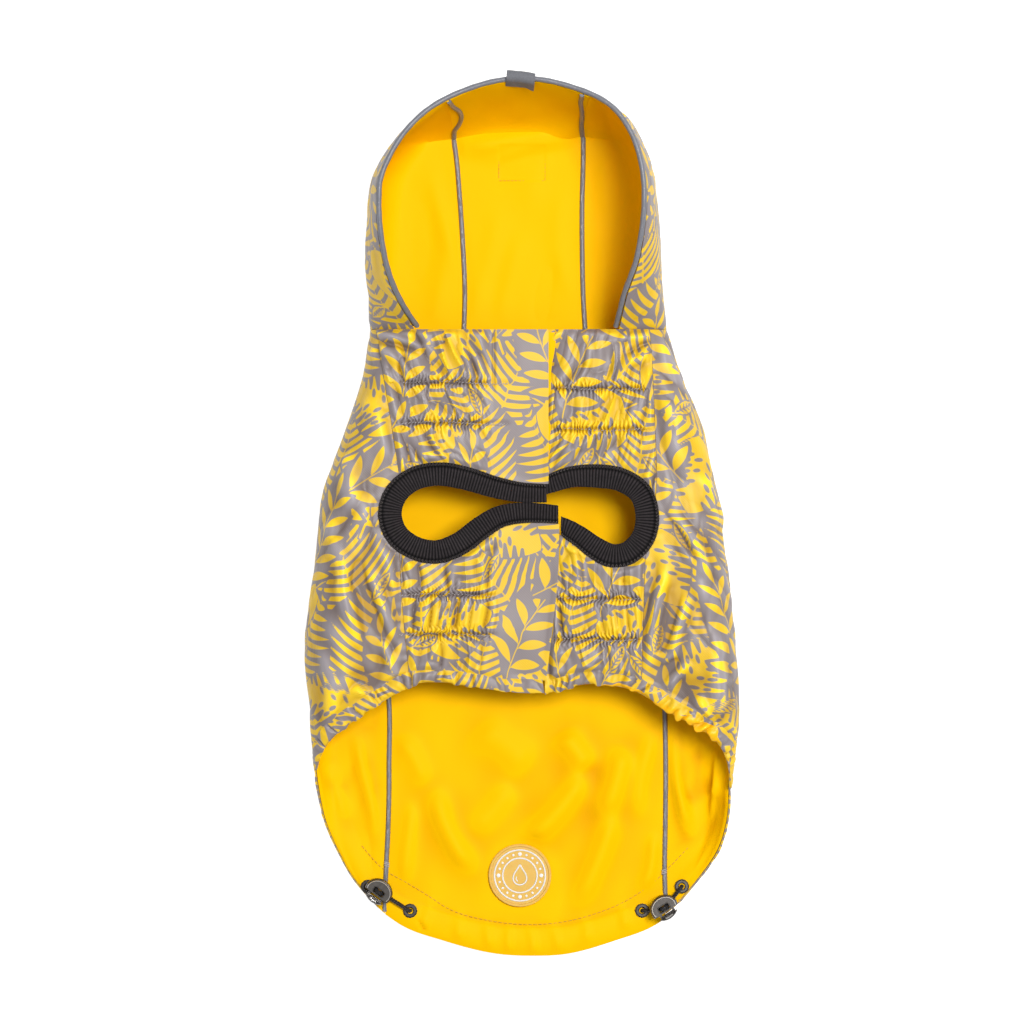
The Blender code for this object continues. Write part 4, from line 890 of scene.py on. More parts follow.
def ribEdges(side):
    # a band's middle and its half width, square to the placket at both ends
    centre = curveThrough(ribLine[side], 49)
    heading = unit(np.gradient(centre, axis=0))
    shares = np.linspace(0.0, 1.0, len(centre))
    toEnd = np.minimum(shares, 1.0 - shares)
    straight = np.clip(toEnd / ribs["squareEnd"], 0.0, 1.0)[:, None]
    normal = np.stack((-heading[:, 1], heading[:, 0]), axis=1)
    upright = np.stack((np.zeros(len(centre)), np.sign(normal[:, 1])), axis=1)
    normal = unit(normal * straight + upright * (1.0 - straight))
    full = np.clip(toEnd / ribs["narrowEnd"], 0.0, 1.0)
    width = ribs["width"] * (ribs["endWidth"] + (1.0 - ribs["endWidth"]) * full)
    outward = np.sign(np.einsum("ij,ij->i", normal, centre - centre.mean(axis=0))[len(centre) // 2])
    return centre, normal * outward * (width / 2.0)[:, None]


def ribOutline(side):
    centre, reach = ribEdges(side)
    return centre + reach * (1.0 + ribs["clearance"] / np.linalg.norm(reach, axis=1, keepdims=True))


ribLines = {side: ribOutline(side) for side in signOf}
casingLine = {}
for side in signOf:
    hemEdge, hemInto = casingLines(side)
    casingLine[side] = hemEdge + hemInto * (hem["casing"] + hem["casingGap"])


def floorEnd(side, y):
    # the last place of a section that lies flat
    reach, points = section(side, y)
    return float(reach[np.flatnonzero(points[:, 1] <= 0.0)[-1]])


def sideEnd(side, y):
    # how far round the section a side reaches, which drops to the hem over a short turn at its corner
    corner, turnedOver = hem["corner"][side], hem["turnedOver"]
    if y <= corner - turnedOver:
        return floorEnd(side, y) * (1.0 - bodySections[side].at(y)["wrap"])
    if y < corner:
        share = (corner - y) / turnedOver
        return sideEnd(side, corner - turnedOver) * share + sideEnd(side, corner) * (1.0 - share)
    edge = bodySections[side].at(y)["bellySeam"] + 0.1
    notch = crossing(ribLines[side], 1, y, lambda found: found[np.argmax(np.abs(found))])
    if notch is not None:
        edge = max(edge, abs(notch))
    end = roundAt(side, signOf[side] * edge, y)
    onHem = crossing(casingLine[side], 1, max(y, casingLine[side][:, 1].min()), np.min)
    return end if onHem is None else min(end, onHem)


def sideGrid(side, rows, columns):
    grid = []
    corner = hem["corner"][side]
    for y in np.linspace(hem["foot"], neckY - 0.1, rows):
        start = section(side, y)[0][0] + 0.1
        row = onBody(side, np.linspace(start, sideEnd(side, y), columns), y)
        slant = max((corner - y) / (corner - hem["foot"]), 0.0) ** 2
        row[:, 1] -= hem["slant"] * slant * np.linspace(1.0, 0.0, columns)
        grid.append(row)
    return np.array(grid)


def channelLift(distance):
    return hem["channelLift"] * np.sin(math.pi * np.clip(distance / hem["channel"], 0.0, 1.0))


# sides

sides = {
    "rows": 400, "columns": 150, "liningRows": 100, "liningColumns": 44,
    # folds seen from above: x, y, x, y, width, height
    "creases": {
        "left": ((-88, -36, -85, -68, 6.5, 1.4), (-74, 60, -66, 26, 6.0, 1.2),
                 (-97, -52, -88, -92, 6.0, 1.4), (-86, 20, -78, -8, 6.0, 1.0),
                 (-87, -26, -84, -62, 3.2, 2.2), (-82, -26, -64, -66, 2.2, -2.4),
                 (-77, -32, -63, -58, 3.0, 2.2), (-72, -16, -62, -40, 2.6, 1.2),
                 (-76, 88, -62, 79, 2.0, -1.6), (-74, 82, -59, 72, 3.0, 1.6), (-90, 30, -84, 2, 4.0, 1.2),
                 (-84, -87, -75, -93, 2.2, 2.2), (-81, -92, -74, -98, 1.5, -2.2),
                 (-86, -97, -78, -102, 2.2, 1.6), (-98, -66, -96, -100, 3.0, 1.2),
                 (-70, -60, -62, -80, 2.4, 1.8), (-94, -2, -88, -30, 3.0, 1.0)),
        "right": ((62, -44, 66, -74, 6.0, 1.2), (82, -10, 94, -46, 6.5, 1.4), (77, 60, 72, 26, 6.0, 1.2),
                  (96, -60, 94, -98, 6.0, 1.3), (73, -1, 92, -29, 3.0, 1.8), (66, 0, 86, -24, 1.8, -1.8),
                  (68, -28, 63, -76, 3.0, 2.6), (62, -28, 57.5, -70, 2.0, -1.8), (83, -44, 71, -73, 2.6, 2.0),
                  (78, -41, 66, -68, 1.6, -1.8), (81, -74, 73, -87, 2.2, 2.4), (76, -73, 67, -84, 1.5, -2.2),
                  (86, 18, 99, -6, 3.4, 1.4), (92, -60, 98, -100, 3.0, 1.4), (66, 84, 77, 60, 3.0, 1.4),
                  (86, -92, 94, -106, 2.4, 2.0)),
    },
    # soft swells in the lining under the hem, seen from above
    "swells": {"left": ((-80, -112, -76, -160, 3.4, 2.2), (-93, -126, -90, -152, 3.4, 1.4)),
               "right": ((76, -112, 82, -158, 3.2, 3.6), (98, -118, 97, -152, 3.4, 3.2),
                         (88, -116, 90, -146, 5.0, -1.6))},
    "crisp": 1.6, "crumple": 1.7, "dip": -0.45, "hemDepth": 1.35, "hemMeet": 8.0,
    "printAt": {"left": (20.0, 40.0), "right": (128.0, 66.0)},
}


def clothFolds(across, lengthways, seed, amount):
    # crumples of crisp cloth: rounded swells between sharp creases, mostly along the coat
    a, b = turned(across, lengthways, 78.0)
    c, d = turned(across, lengthways, 55.0)
    e, f = turned(across, lengthways, 112.0)
    fold = billows(b / 15.0, a / 52.0, seed) + 0.55 * billows(d / 9.0, c / 30.0, seed + 3)
    fold = fold + 0.24 * billows(f / 5.5, e / 19.0, seed + 5) - 0.7
    return amount * (fold + 0.06 * softNoise(across / 3.2, lengthways / 4.5, seed + 7))


def makeSides():
    for number, side in enumerate(signOf):
        grid = sideGrid(side, sides["rows"], sides["columns"])
        normal = normalsOf(grid, down)
        across, lengthways = travelled(grid, 1), grid[..., 1]
        fade = edgeFade(grid, cloth["edge"])
        upper = ease((grid[..., 2] - 6.0) / 12.0)
        lift = sides["crisp"] * creaseHeight(grid[..., 0], grid[..., 1], sides["creases"][side]) * upper
        lift = lift + clothFolds(across, lengthways, 11 + number, sides["crumple"]) * ease(grid[..., 2] / 8.0)
        lift = np.maximum(lift, sides["dip"]) * fade
        seamPucker = 0.25 * softNoise(lengthways / 2.6, across * 0.0 + number, 31) * ease(1.0 - fade)
        face = grid + normal * (lift + seamPucker * ease(grid[..., 2] / 6.0))[..., None]
        ink = printInk(signOf[side] * across, lengthways, sides["printAt"][side])
        # the fold mark paints shade between the folds and highlight on their ridges
        clothSheet(f"side_cloth_{side}", face, normal, ("print", "lining"), cloth["wall"],
                   marks={"ink": ink, "paintedFoldShade": paintedFoldShadeMark(lift, 9, 0.8)},
                   nodes=(f"side_{side}",), inside=grid)

        grid = sideGrid(side, sides["liningRows"], sides["liningColumns"])
        normal = normalsOf(grid, down)
        across, lengthways = travelled(grid, 1), grid[..., 1]
        lift = np.zeros(grid.shape[:2])
        for index, row in enumerate(grid):
            if row[0, 1] < hem["corner"][side]:
                reach = lengthOf(row)
                channel = channelLift(np.linspace(reach, 0.0, len(row)))
                lift[index] = channel * ease(reach / (2 * hem["channel"]))
        fade = edgeFade(grid, 9.0)
        soft = 1.2 * softNoise(across / 22.0, lengthways / 38.0, 51 + number)
        soft = soft + 0.8 * billows(across / 12.0, lengthways / 30.0, 53 + number) - 0.3
        soft = soft + creaseHeight(grid[..., 0], grid[..., 1], sides["swells"][side])
        depth = liningTop + lift + np.maximum(soft * fade, -0.5)
        # the lining meets the outer cloth along the hem
        depth[grid[:, 0, 1] < hem["corner"][side] + sides["hemMeet"], -1] = sides["hemDepth"]
        face = grid - normal * depth[..., None]
        # the fold mark paints shade in the lining's dips under the hem
        clothSheet(f"side_lining_cloth_{side}", face, -normal, "lining", nodes=(f"side_lining_{side}",),
                   marks={"paintedFoldShade": paintedFoldShadeMark(soft * fade, 3, 1.3)})
    print("sides made")


# back

back = {"rows": 200, "columns": 100, "liningRows": 180, "liningColumns": 90,
        # soft swells in the lining: x, y, x, y, width, height
        "swells": ((-44, -140, -25, -178, 5.6, 4.0), (21, -110, 31, -128, 6.4, 4.2),
                   (29, -130, 5, -164, 6.4, 4.6), (48, -118, 43, -150, 6.4, 4.6),
                   (42, -150, 31, -196, 5.6, 4.0), (66, -162, 60, -188, 3.4, 2.4),
                   (-58, -146, -56, -184, 3.4, 1.8), (-22, -108, 2, -128, 9.6, 3.2),
                   (-60, -112, -50, -136, 5.0, 2.2), (-8, -136, -22, -160, 6.4, 2.4),
                   (62, -112, 60, -150, 4.2, 2.4)),
        # short gathers across the hem channel: x, y, x, y, width, height
        "gathers": ((-17, -203, -18, -217, 2.0, 1.3), (-7, -205, -6, -219, 1.8, 1.5),
                    (3, -205, 5, -220, 2.0, 1.5), (15, -204, 17, -219, 2.2, 1.3),
                    (-44, -192, -50, -207, 2.2, 1.7), (-30, -199, -33, -213, 2.2, 1.2),
                    (29, -200, 33, -214, 2.2, 1.3), (48, -194, 52, -207, 2.2, 1.7),
                    (-53.5, -201, -49.5, -209, 0.8, -2.2)),
        # where hardware lies flat on the lining: x, y, radius
        "calm": ((-1.3, -181.0, 16.5), (-56.1, -198.6, 4.2), (59.8, -198.5, 4.2), (-71.6, -188.6, 6.0),
                 (70.4, -196.6, 6.0)),
        "printAt": (60.0, 150.0), "foot": (-68.9, 71.8), "hemShare": 0.12}


def centreGrid(rows, columns):
    grid = np.zeros((rows, columns, 3))
    inHem = max(int(rows * back["hemShare"]), 4)
    footLeft, footRight = back["foot"]
    for column, u in enumerate(np.linspace(0.0, 1.0, columns)):
        footX = footLeft + u * (footRight - footLeft)
        footY = backHem.at(footX)["y"]
        lengthways = np.concatenate((np.linspace(footY, footY + hem["channel"], inHem),
                                     np.linspace(footY + hem["channel"], neckY - 0.1, rows - inHem + 1)[1:]))
        for row, y in enumerate(lengthways):
            left = 0.1 - bodySections["left"].at(y)["seam"]
            right = bodySections["right"].at(y)["seam"] - 0.1
            grid[row, column] = (left + (right - left) * u, y, 0.0)
    return grid


def makeBack():
    grid = centreGrid(back["rows"], back["columns"])
    normal = normalsOf(grid, down)
    ink = printInk(grid[..., 0], grid[..., 1], back["printAt"])
    clothSheet("back_cloth", grid, normal, ("print", "lining"), cloth["wall"], marks={"ink": ink},
               nodes=("back_panel",), inside=grid)

    grid = centreGrid(back["liningRows"], back["liningColumns"])
    x, y = grid[..., 0], grid[..., 1]
    hemDistance = y - np.array([[backHem.at(place)["y"] for place, _, _ in row] for row in grid])
    soft = creaseHeight(x, y, back["swells"]) + 0.6 * softNoise(x / 15.0, y / 24.0, 71)
    soft = np.maximum(soft, -0.4) * edgeFade(grid, 8.0) * ease((hemDistance - 11.0) / 14.0)
    hemWave = creaseHeight(x, y, back["gathers"]) + 0.25 * softNoise(x / 5.5, hemDistance / 9.0, 77)
    hemWave = hemWave * ease(1.0 - hemDistance / 26.0)
    groove = -0.45 * np.exp(-((hemDistance - hem["channel"]) / 0.8) ** 2)
    calm = np.ones_like(x)
    for placeX, placeY, radius in back["calm"]:
        calm = calm * ease((np.hypot(x - placeX, y - placeY) - radius) / 7.0)
    lift = channelLift(hemDistance) + (soft + hemWave + groove) * calm * ease(hemDistance / 3.0)
    base = grid + (0.0, 0.0, liningTop)
    face = grid.copy()
    face[..., 2] = liningTop + lift
    # the fold mark paints shade between the lining's swells
    clothSheet("back_lining_cloth", face, up + 0.0 * face, "lining", cloth["wall"], nodes=("back_lining",),
               inside=base, marks={"paintedFoldShade": paintedFoldShadeMark(lift, 7, 3.0)})
    print("back made")


# placket facing: the lining that shows past the upper flap's edge

facing = {"from": 89.5, "to": 16.0, "out": 1.0, "wide": 2.6, "under": 2.2, "rows": 90, "columns": 9}


def makeFacing():
    grid = np.zeros((facing["rows"], facing["columns"], 3))
    for row, y in enumerate(np.linspace(facing["to"], facing["from"], facing["rows"])):
        edge = placketEdge(y)
        peek = facing["out"] * ease((y - facing["to"]) / 12.0) + 0.25 * softNoise(y / 6.0, 0.0, 221)
        peek += facing["wide"] * ease((y - 62.0) / 24.0) ** 2
        for column, x in enumerate(np.linspace(edge - facing["under"], edge + peek, facing["columns"])):
            grid[row, column] = (x, y, topHeight(x, y) - 0.95)
    clothSheet("placket_facing_cloth", grid, normalsOf(grid, up), "lining", 0.35)
    print("facing made")


# belly

belly = {
    "rows": 130, "columns": 200, "gather": 4.2, "dip": -0.9, "wall": 1.4, "printAt": {
        ("left", "upper"): (176.0, 96.0), ("left", "lower"): (70.0, 150.0),
        ("right", "upper"): (30.0, 20.0), ("right", "lower"): (150.0, 118.0)},
    "shirring": {("left", "upper"): (64.5, 44.5), ("left", "lower"): (-40.5, -60.0),
                 ("right", "upper"): (61.5, 41.5), ("right", "lower"): (-42.5, -62.5)},
    # how far folds lean across as they run up the coat, for each piece
    "lean": {("left", "upper"): 0.42, ("left", "lower"): -0.10,
             ("right", "upper"): -0.30, ("right", "lower"): 0.14},
    "area": {("left", "upper"): 0.0062, ("left", "lower"): 0.0060,
             ("right", "upper"): 0.0046, ("right", "lower"): 0.0044},
    # tucks at the neck's corners: x, y, x, y, width, height
    "tucks": {("left", "upper"): ((-73, 86, -52, 78, 1.8, -2.0), (-72, 81, -56, 71, 2.4, 2.2),
                                  (-70, 88, -48, 83, 1.8, 1.6)),
              ("right", "upper"): ((70, 86, 50, 79, 1.8, -2.0), (68, 80, 52, 72, 2.4, 2.2),
                                   (68, 88, 46, 84, 1.8, 1.6))},
    "rowReach": {("left", "upper"): (-60.0, -7.0), ("left", "lower"): (-62.0, -13.0),
                 ("right", "upper"): (15.5, 60.0), ("right", "lower"): (15.5, 58.0)},
}


def casingPlan(side):
    # the casing's inner line seen from above, led on under the placket
    line = [onBody(side, np.array([reach]), y)[0][:2] for reach, y in casingLine[side]]
    past = line[0] - np.array((signOf[side] * 3.0 * placket["underlap"], 0.0))
    return np.array([past] + line)


casingPlans = {side: casingPlan(side) for side in signOf}


def bellyBounds(side, level, x):
    # where a belly piece starts and ends along the coat, at a place across it
    rib = ribLines[side]
    low, high = sorted((rib[:, 0].min(), rib[:, 0].max()))
    reach = min(max(x, low + 0.05), high - 0.05)
    end = ribLine[side][0 if level == "upper" else -1][0]
    reach = min(reach, end - 0.1) if side == "left" else max(reach, end + 0.1)
    if level == "upper":
        return crossing(rib, 0, reach, np.max), neckY - 0.1
    return crossing(casingPlans[side], 0, x, np.max), crossing(rib, 0, reach, np.min)


def bellyGrid(side, level, rows, columns):
    # found in three turns, because the seam's place depends on the height and the ends on the seam
    grid = np.zeros((rows, columns, 3))
    for column, u in enumerate(np.linspace(0.0, 1.0, columns)):
        for row, v in enumerate(np.linspace(0.0, 1.0, rows)):
            y = 50.0 if level == "upper" else -50.0
            for _ in range(3):
                seam = signOf[side] * (bodySections[side].at(y)["bellySeam"] - 0.1)
                edge = placketLine[level].at(y)["x"]
                edge = edge if side == "left" else edge - placket["underlap"]
                x = seam + (edge - seam) * u
                low, high = bellyBounds(side, level, x)
                y = low + (high - low) * v
            grid[row, column] = (x, y, topHeight(x, y, under=side == "right"))
    return grid


def gatherHeight(side, level, grid):
    # folds along the coat, drawn up into fine pleats on the two rows of elastic
    x, y = grid[..., 0], grid[..., 1]
    key = (side, level)
    low, high = belly["rowReach"][key]
    edges = np.array([[placketEdge(v) for v in row] for row in y])
    beside = ease((edges - x - placket["band"]) / 8.0) if side == "left" else ease((x - edges + 2.0) / 5.0)
    first, second = belly["shirring"][key]
    centre = 0.5 * (first + second)
    seed = 90 + 7 * len(side) + 3 * len(level)
    leaned = x + belly["lean"][key] * (y - centre) + 1.6 * softNoise(x / 14.0, y / 12.0, seed + 2)
    toRow = np.minimum(np.abs(y - first), np.abs(y - second))
    band = np.where(y > first, 0.0, np.where(y > second, 1.0, 2.0))
    broad = billows(leaned / 7.2, y / 30.0 + band * 3.7, seed, 0.7)
    broken = billows(leaned / 3.4, y / 13.0 + band * 5.1, seed + 5, 0.75)
    ridge = 1.0 - billows(leaned / 5.2 + 7.3, y / 34.0 + band * 2.3, seed + 21, 0.6)
    small = softNoise(leaned / 2.0, y / 7.0, seed + 9)
    phase = x * math.pi / 1.9 + 2.4 * softNoise(x / 5.0, y / 2.5, seed + 4)
    pleats = 1.9 * np.abs(np.sin(phase)) ** 0.8 - 0.7
    inRow = ease((x - low) / 4.0 + 0.5) * ease((high - x) / 4.0 + 0.5)
    pinched = np.exp(-(toRow / 1.1) ** 2) * inRow
    nearPleats = np.exp(-(toRow / 3.6) ** 2) * inRow
    folds = belly["gather"] * (0.72 * broad + 0.26 * broken + 0.5 * ridge - 0.42)
    folds = folds * (0.35 + 0.65 * ease(toRow / 6.0)) + 0.12 * small
    shape = folds * beside + pleats * nearPleats * beside - 1.3 * pinched * (0.25 + 0.75 * beside)
    if side == "left" and level == "upper":
        shape = shape - 0.8 * np.exp(-((edges - x - placket["band"]) / 0.7) ** 2) * ease((y - 58.0) / 8.0)
    calm = 0.6 * softNoise(x / 13.0, y / 20.0, seed + 1) * (1.0 - beside)
    return shape + calm + creaseHeight(x, y, belly["tucks"].get(key, ()))


def makeBelly():
    for side, level in belly["shirring"]:
        base = bellyGrid(side, level, 14, 40)
        grid = finer(base, belly["rows"], belly["columns"])
        normal = normalsOf(grid, up)
        fade = edgeFade(grid, 3.0)
        lift = np.maximum(gatherHeight(side, level, grid) * (0.25 + 0.75 * fade), belly["dip"])
        face = grid + normal * lift[..., None]
        spread = 0.3 * alongCloth(face) + 0.7 * alongCloth(grid)
        ink = printInk(-signOf[side] * spread, grid[..., 1], belly["printAt"][side, level])
        # the fold mark paints shade between the gathers and highlight on their ridges
        clothSheet(f"belly_cloth_{side}_{level}", face, normal, ("print", "lining"), belly["wall"],
                   marks={"ink": ink, "paintedFoldShade": paintedFoldShadeMark(lift, 6, 0.9)}, nodes=(f"belly_{side}_{level}",),
                   inside=grid)
        first, second = belly["shirring"][side, level]
        low, high = belly["rowReach"][side, level]
        paths = []
        for rowY in (first, second):
            xs = np.linspace(low, high, 120)
            ys = rowY + 0.8 * np.sin(xs / 9.0)
            height = np.array([topHeight(x, y, under=side == "right") for x, y in zip(xs, ys)])
            paths.append(np.stack((xs, ys, height + 0.1 + 0.3 * np.sin(xs * 2.9)), axis=1))
        stitchRow(f"shirring_stitches_{side}_{level}", paths, "greyThread", stitches["shirring"])
    print("belly made")


casing = {"columns": 380, "rows": 14, "overlap": 0.9, "wall": 1.2, "frillFrom": 26.0, "lumpsFrom": 62.0,
          "printAt": {"left": (40.0, 10.0), "right": (100.0, 90.0)}}


def onHem(side, reach, y, into, width):
    # a place on the casing, which steps down where it runs under the placket
    place = onBody(side, np.array([reach + into[0] * width]), y + into[1] * width)[0]
    if side == "right":
        place[2] -= placket["step"] * float(ease(1.0 - (place[0] - placketEdge(place[1])) / placket["run"]))
    return place


def makeCasing():
    for number, side in enumerate(signOf):
        edge, into = casingLines(side)
        track = along(np.concatenate((edge, into), axis=1), np.linspace(0.0, 1.0, casing["columns"]))
        widths = np.linspace(0.0, hem["casing"] + casing["overlap"], casing["rows"])
        grid = np.array([[onHem(side, reach, y, (a, b), width) for reach, y, a, b in track]
                         for width in widths])
        normal = normalsOf(grid, up)
        travel = travelled(grid[0])
        share = (widths / widths[-1])[:, None]
        across = np.repeat(widths[:, None], len(track), axis=1)
        place = np.repeat(travel[None], len(widths), axis=0)
        puff = np.sin(math.pi * share) ** 0.6
        wander = 0.5 * softNoise(place / 11.0, across / 5.0, 120 + number)
        ruffle = billows(place / 3.4 + wander, across / 14.0, 121 + number) - 0.4
        fine = softNoise(place / 1.5, across / 3.0, 123 + number)
        lift = 2.6 * ruffle * (0.35 + 0.65 * puff) + 0.2 * fine + 0.7 * puff - 0.3
        lift = lift + 0.5 * ease((share - 0.8) / 0.2)
        wavy = 1.1 * softNoise(place / 3.4, place * 0.0, 125 + number) * (1.0 - share)
        turnedOut = np.full_like(place, -3.0)
        if side == "left":
            calm = 0.25 + 0.75 * ease((place - placket["band"]) / 8.0)
        else:
            calm = np.ones_like(place)
            frill = ease((place - casing["frillFrom"]) / 10.0) * ease((travel[-1] - 24.0 - place) / 10.0)
            deep = ease((place - casing["lumpsFrom"]) / 8.0)
            uneven = 0.22 * softNoise(place / 9.0, place * 0.0, 128)
            turnedOut = (0.26 + 0.32 * deep + uneven) * frill * widths[-1] - across + 0.35 * fine
            lumps = np.abs(np.sin(math.pi * place / 7.4 + 3.0 * wander)) ** 0.7 - 0.4
            lift = lift + 1.7 * lumps * deep * frill * ease((0.75 - share) / 0.4)
            wavy = wavy + 1.5 * lumps * deep * frill * (1.0 - share)
        onward = unit(np.gradient(grid, axis=0))
        calm = calm * (0.15 + 0.85 * ease((travel[-1] - place) / 16.0))
        lift = np.maximum(lift * calm, -0.7)
        face = grid + normal * lift[..., None] - onward * (wavy * calm)[..., None]
        ink = printInk(place * 1.2, across, casing["printAt"][side])
        # the fold mark paints shade between the ruffles and highlight on their ridges
        clothSheet(f"hem_casing_{side}", face, normal, ("print", "lining"), casing["wall"],
                   marks={"ink": ink, "turnedOut": turnedOut, "paintedFoldShade": paintedFoldShadeMark(lift, 4, 1.3)},
                   nodes=(f"belly_hem_{side}",), inside=grid, step=2)
    print("casing made")


# leg ribs

def makeRibs():
    for side in signOf:
        centre, reach = ribEdges(side)
        count = int(lengthOf(centre) / ribs["pitch"])
        track = along(np.concatenate((centre, reach), axis=1), np.linspace(0.0, 1.0, 6 * count + 1))
        across = np.concatenate((np.linspace(-1.0, 0.74, 10), np.linspace(0.80, 1.12, 5)))[:, None]
        grid = np.zeros((len(across), len(track), 3))
        for row, share in enumerate(across[:, 0]):
            plan = track[:, :2] + track[:, 2:] * share
            grid[row, :, :2] = plan
            grid[row, :, 2] = [topHeight(x, y, under=side == "right") for x, y in plan]
        normal = normalsOf(grid, up)
        wave = np.abs(np.sin(np.arange(len(track)) * math.pi / 6.0))[None] ** 0.8
        body = np.clip(np.abs(across), 0.0, 1.0)
        knit = 0.70 * (wave - 0.5) * (1.0 - 0.6 * body ** 6) * ease((1.16 - across) / 0.3)
        seam = np.exp(-((across - ribs["seamAt"]) / 0.07) ** 2)
        serged = 0.45 * np.exp(-((across - ribs["serged"]) / 0.13) ** 2)
        lift = ribs["lift"] * (1.0 - body ** 2.6) + 0.25 + knit - 0.50 * seam + serged
        place = np.arange(len(track))[None] / 40.0
        uneven = 0.85 + 0.15 * softNoise(place, across * 2.0, 135)
        # the crest mark: 1 where a rib's crest gets painted highlight, 0 in the grooves and at the seam,
        # which get painted shade
        crest = np.clip(wave ** 1.6 * uneven * ease((across + 1.25) / 0.4) - 0.8 * seam, 0.0, 1.0)
        clothSheet(f"rib_band_{side}", grid + normal * lift[..., None], normal, "rib", thickness=ribs["wall"],
                   marks={"crest": crest}, nodes=(f"leg_rib_{side}",), inside=grid + ribs["core"] * normal,
                   step=4)
        zigzag = []
        places = np.linspace(0.004, 0.996, int(lengthOf(centre) / ribs["overlock"]))
        for index, (x, y, dx, dy) in enumerate(along(np.concatenate((centre, reach), axis=1), places)):
            share = 1.17 if index % 2 else 0.82
            height = topHeight(x + dx * share, y + dy * share, under=side == "right")
            zigzag.append((x + dx * share, y + dy * share, height + (0.75 if index % 2 else 1.1)))
        tubeAlong(f"overlock_thread_{side}", zigzag, ribs["thread"], "paleThread", sides=5)
    print("ribs made")


# hood

hoodSections = {
    "left": Table(
        "t sx sy sz bx by bz rx ry rz roll",
        (0.00, -29.3, 91.0, 0.0, -75.8, 91.0, 13.0, -53.8, 91.0, 29.0, 14.0),
        (0.16, -28.8, 109.0, 0.0, -76.6, 107.5, 20.0, -62.3, 105.0, 43.0, 16.0),
        (0.36, -29.8, 134.0, 0.0, -77.4, 126.0, 24.0, -69.0, 124.0, 54.0, 18.0),
        (0.55, -31.3, 156.5, 0.0, -76.2, 150.5, 26.0, -71.8, 149.3, 60.0, 19.0),
        (0.70, -32.8, 175.0, 0.0, -72.6, 169.0, 27.0, -69.8, 167.5, 61.0, 19.0),
        (0.82, -34.5, 188.0, 0.0, -60.5, 185.5, 28.0, -60.0, 185.5, 60.0, 16.0),
        (0.92, -35.3, 196.5, 22.0, -47.8, 196.0, 40.0, -48.4, 197.2, 58.5, 8.0),
        (1.00, -37.4, 203.7, 56.0, -39.4, 203.2, 56.6, -41.4, 202.2, 57.0, 1.0),
    ),
    "right": Table(
        "t sx sy sz bx by bz rx ry rz roll",
        (0.00, 31.3, 91.0, 0.0, 71.8, 91.0, 13.0, 47.8, 91.0, 29.0, 13.0),
        (0.16, 30.3, 109.0, 0.0, 69.8, 107.5, 20.0, 51.6, 107.0, 43.0, 15.0),
        (0.36, 29.8, 134.0, 0.0, 68.9, 126.0, 25.0, 57.7, 125.0, 54.0, 17.0),
        (0.55, 29.8, 156.5, 0.0, 67.2, 151.0, 27.0, 60.9, 149.3, 60.0, 18.0),
        (0.70, 30.3, 175.0, 0.0, 64.3, 169.5, 28.0, 60.0, 167.5, 61.0, 18.0),
        (0.82, 30.3, 189.0, 0.0, 57.4, 186.0, 30.0, 55.4, 184.5, 60.0, 15.0),
        (0.92, 30.1, 198.0, 22.0, 46.5, 199.0, 42.0, 46.0, 198.6, 58.5, 8.0),
        (1.00, 32.6, 206.0, 56.0, 34.6, 205.8, 56.6, 36.6, 205.2, 57.0, 1.0),
    ),
}
crownBulge = Table("t out", (0.0, 0.0), (0.70, 0.0), (0.82, 2.5), (0.92, 5.5), (1.0, 8.7))
hood = {"rows": 150, "columns": 110, "crownRows": 190, "crownColumns": 84, "liningRows": 84,
        "liningColumns": 56, "rim": 1.2, "wall": 0.5,
        "printAt": {"left": (96.0, 180.0), "right": (10.0, 120.0), "crown": (140.0, 30.0)},
        "patch": {"x": (-11.8, 11.3), "y": (166.0, 183.5)},
        # soft folds inside, seen from above: x, y, x, y, width, height
        "crownSwells": ((-8, 96, -4, 138, 5.0, 0.9), (10, 94, 14, 126, 4.0, -0.8),
                        (-20, 100, -16, 150, 5.0, 0.7), (22, 110, 20, 160, 5.0, 0.7),
                        (0, 150, 10, 190, 6.0, 0.6), (-30, 187, 30, 189, 6.0, 3.4),
                        (-16, 176, 24, 184, 3.0, 0.8)),
        "sideSwells": {"left": ((-44, 96, -40, 150, 5.0, 1.2), (-56, 110, -50, 160, 5.0, -0.8),
                                (-36, 120, -42, 170, 4.0, 0.8)),
                       "right": ((38, 96, 40, 140, 4.0, 0.9), (48, 104, 50, 160, 5.0, -0.9),
                                 (40, 150, 44, 180, 4.0, 0.8))}}


def hoodPath(side, t):
    # from the seam along the floor, round the roll and up the wall to the rim
    row = hoodSections[side].at(t)
    seam = np.array((row["sx"], row["sy"], max(row["sz"], 0.0)))
    full = np.array((row["bx"], row["by"], row["bz"]))
    rim = np.array((row["rx"], row["ry"], row["rz"]))
    out = full - seam
    reach = math.hypot(out[0], out[1])
    out = np.array((out[0] / reach, out[1] / reach, 0.0))
    roll = min(row["roll"], 0.8 * reach)
    foot = np.array((full[0], full[1], seam[2])) - out * roll
    turn = np.linspace(0.0, math.pi / 2, 10)[:, None]
    corner = foot + out * roll * np.sin(turn) + np.array((0.0, 0.0, full[2] - seam[2])) * (1.0 - np.cos(turn))
    lean = full + np.array((0.0, 0.0, 0.75 * (rim[2] - full[2])))
    s = np.linspace(0.0, 1.0, 10)[1:, None]
    rise = full * (1 - s) ** 2 + lean * 2 * s * (1 - s) + rim * s ** 2
    return np.concatenate((seam[None], corner, rise))


def hoodGrid(side, rows, columns):
    shares = np.linspace(0.001, 1.0, columns)
    grid = np.array([along(hoodPath(side, t), shares) for t in np.linspace(0.0, 1.0, rows)])
    grid[..., 1] = np.maximum(grid[..., 1], neckY + 0.1)
    return grid


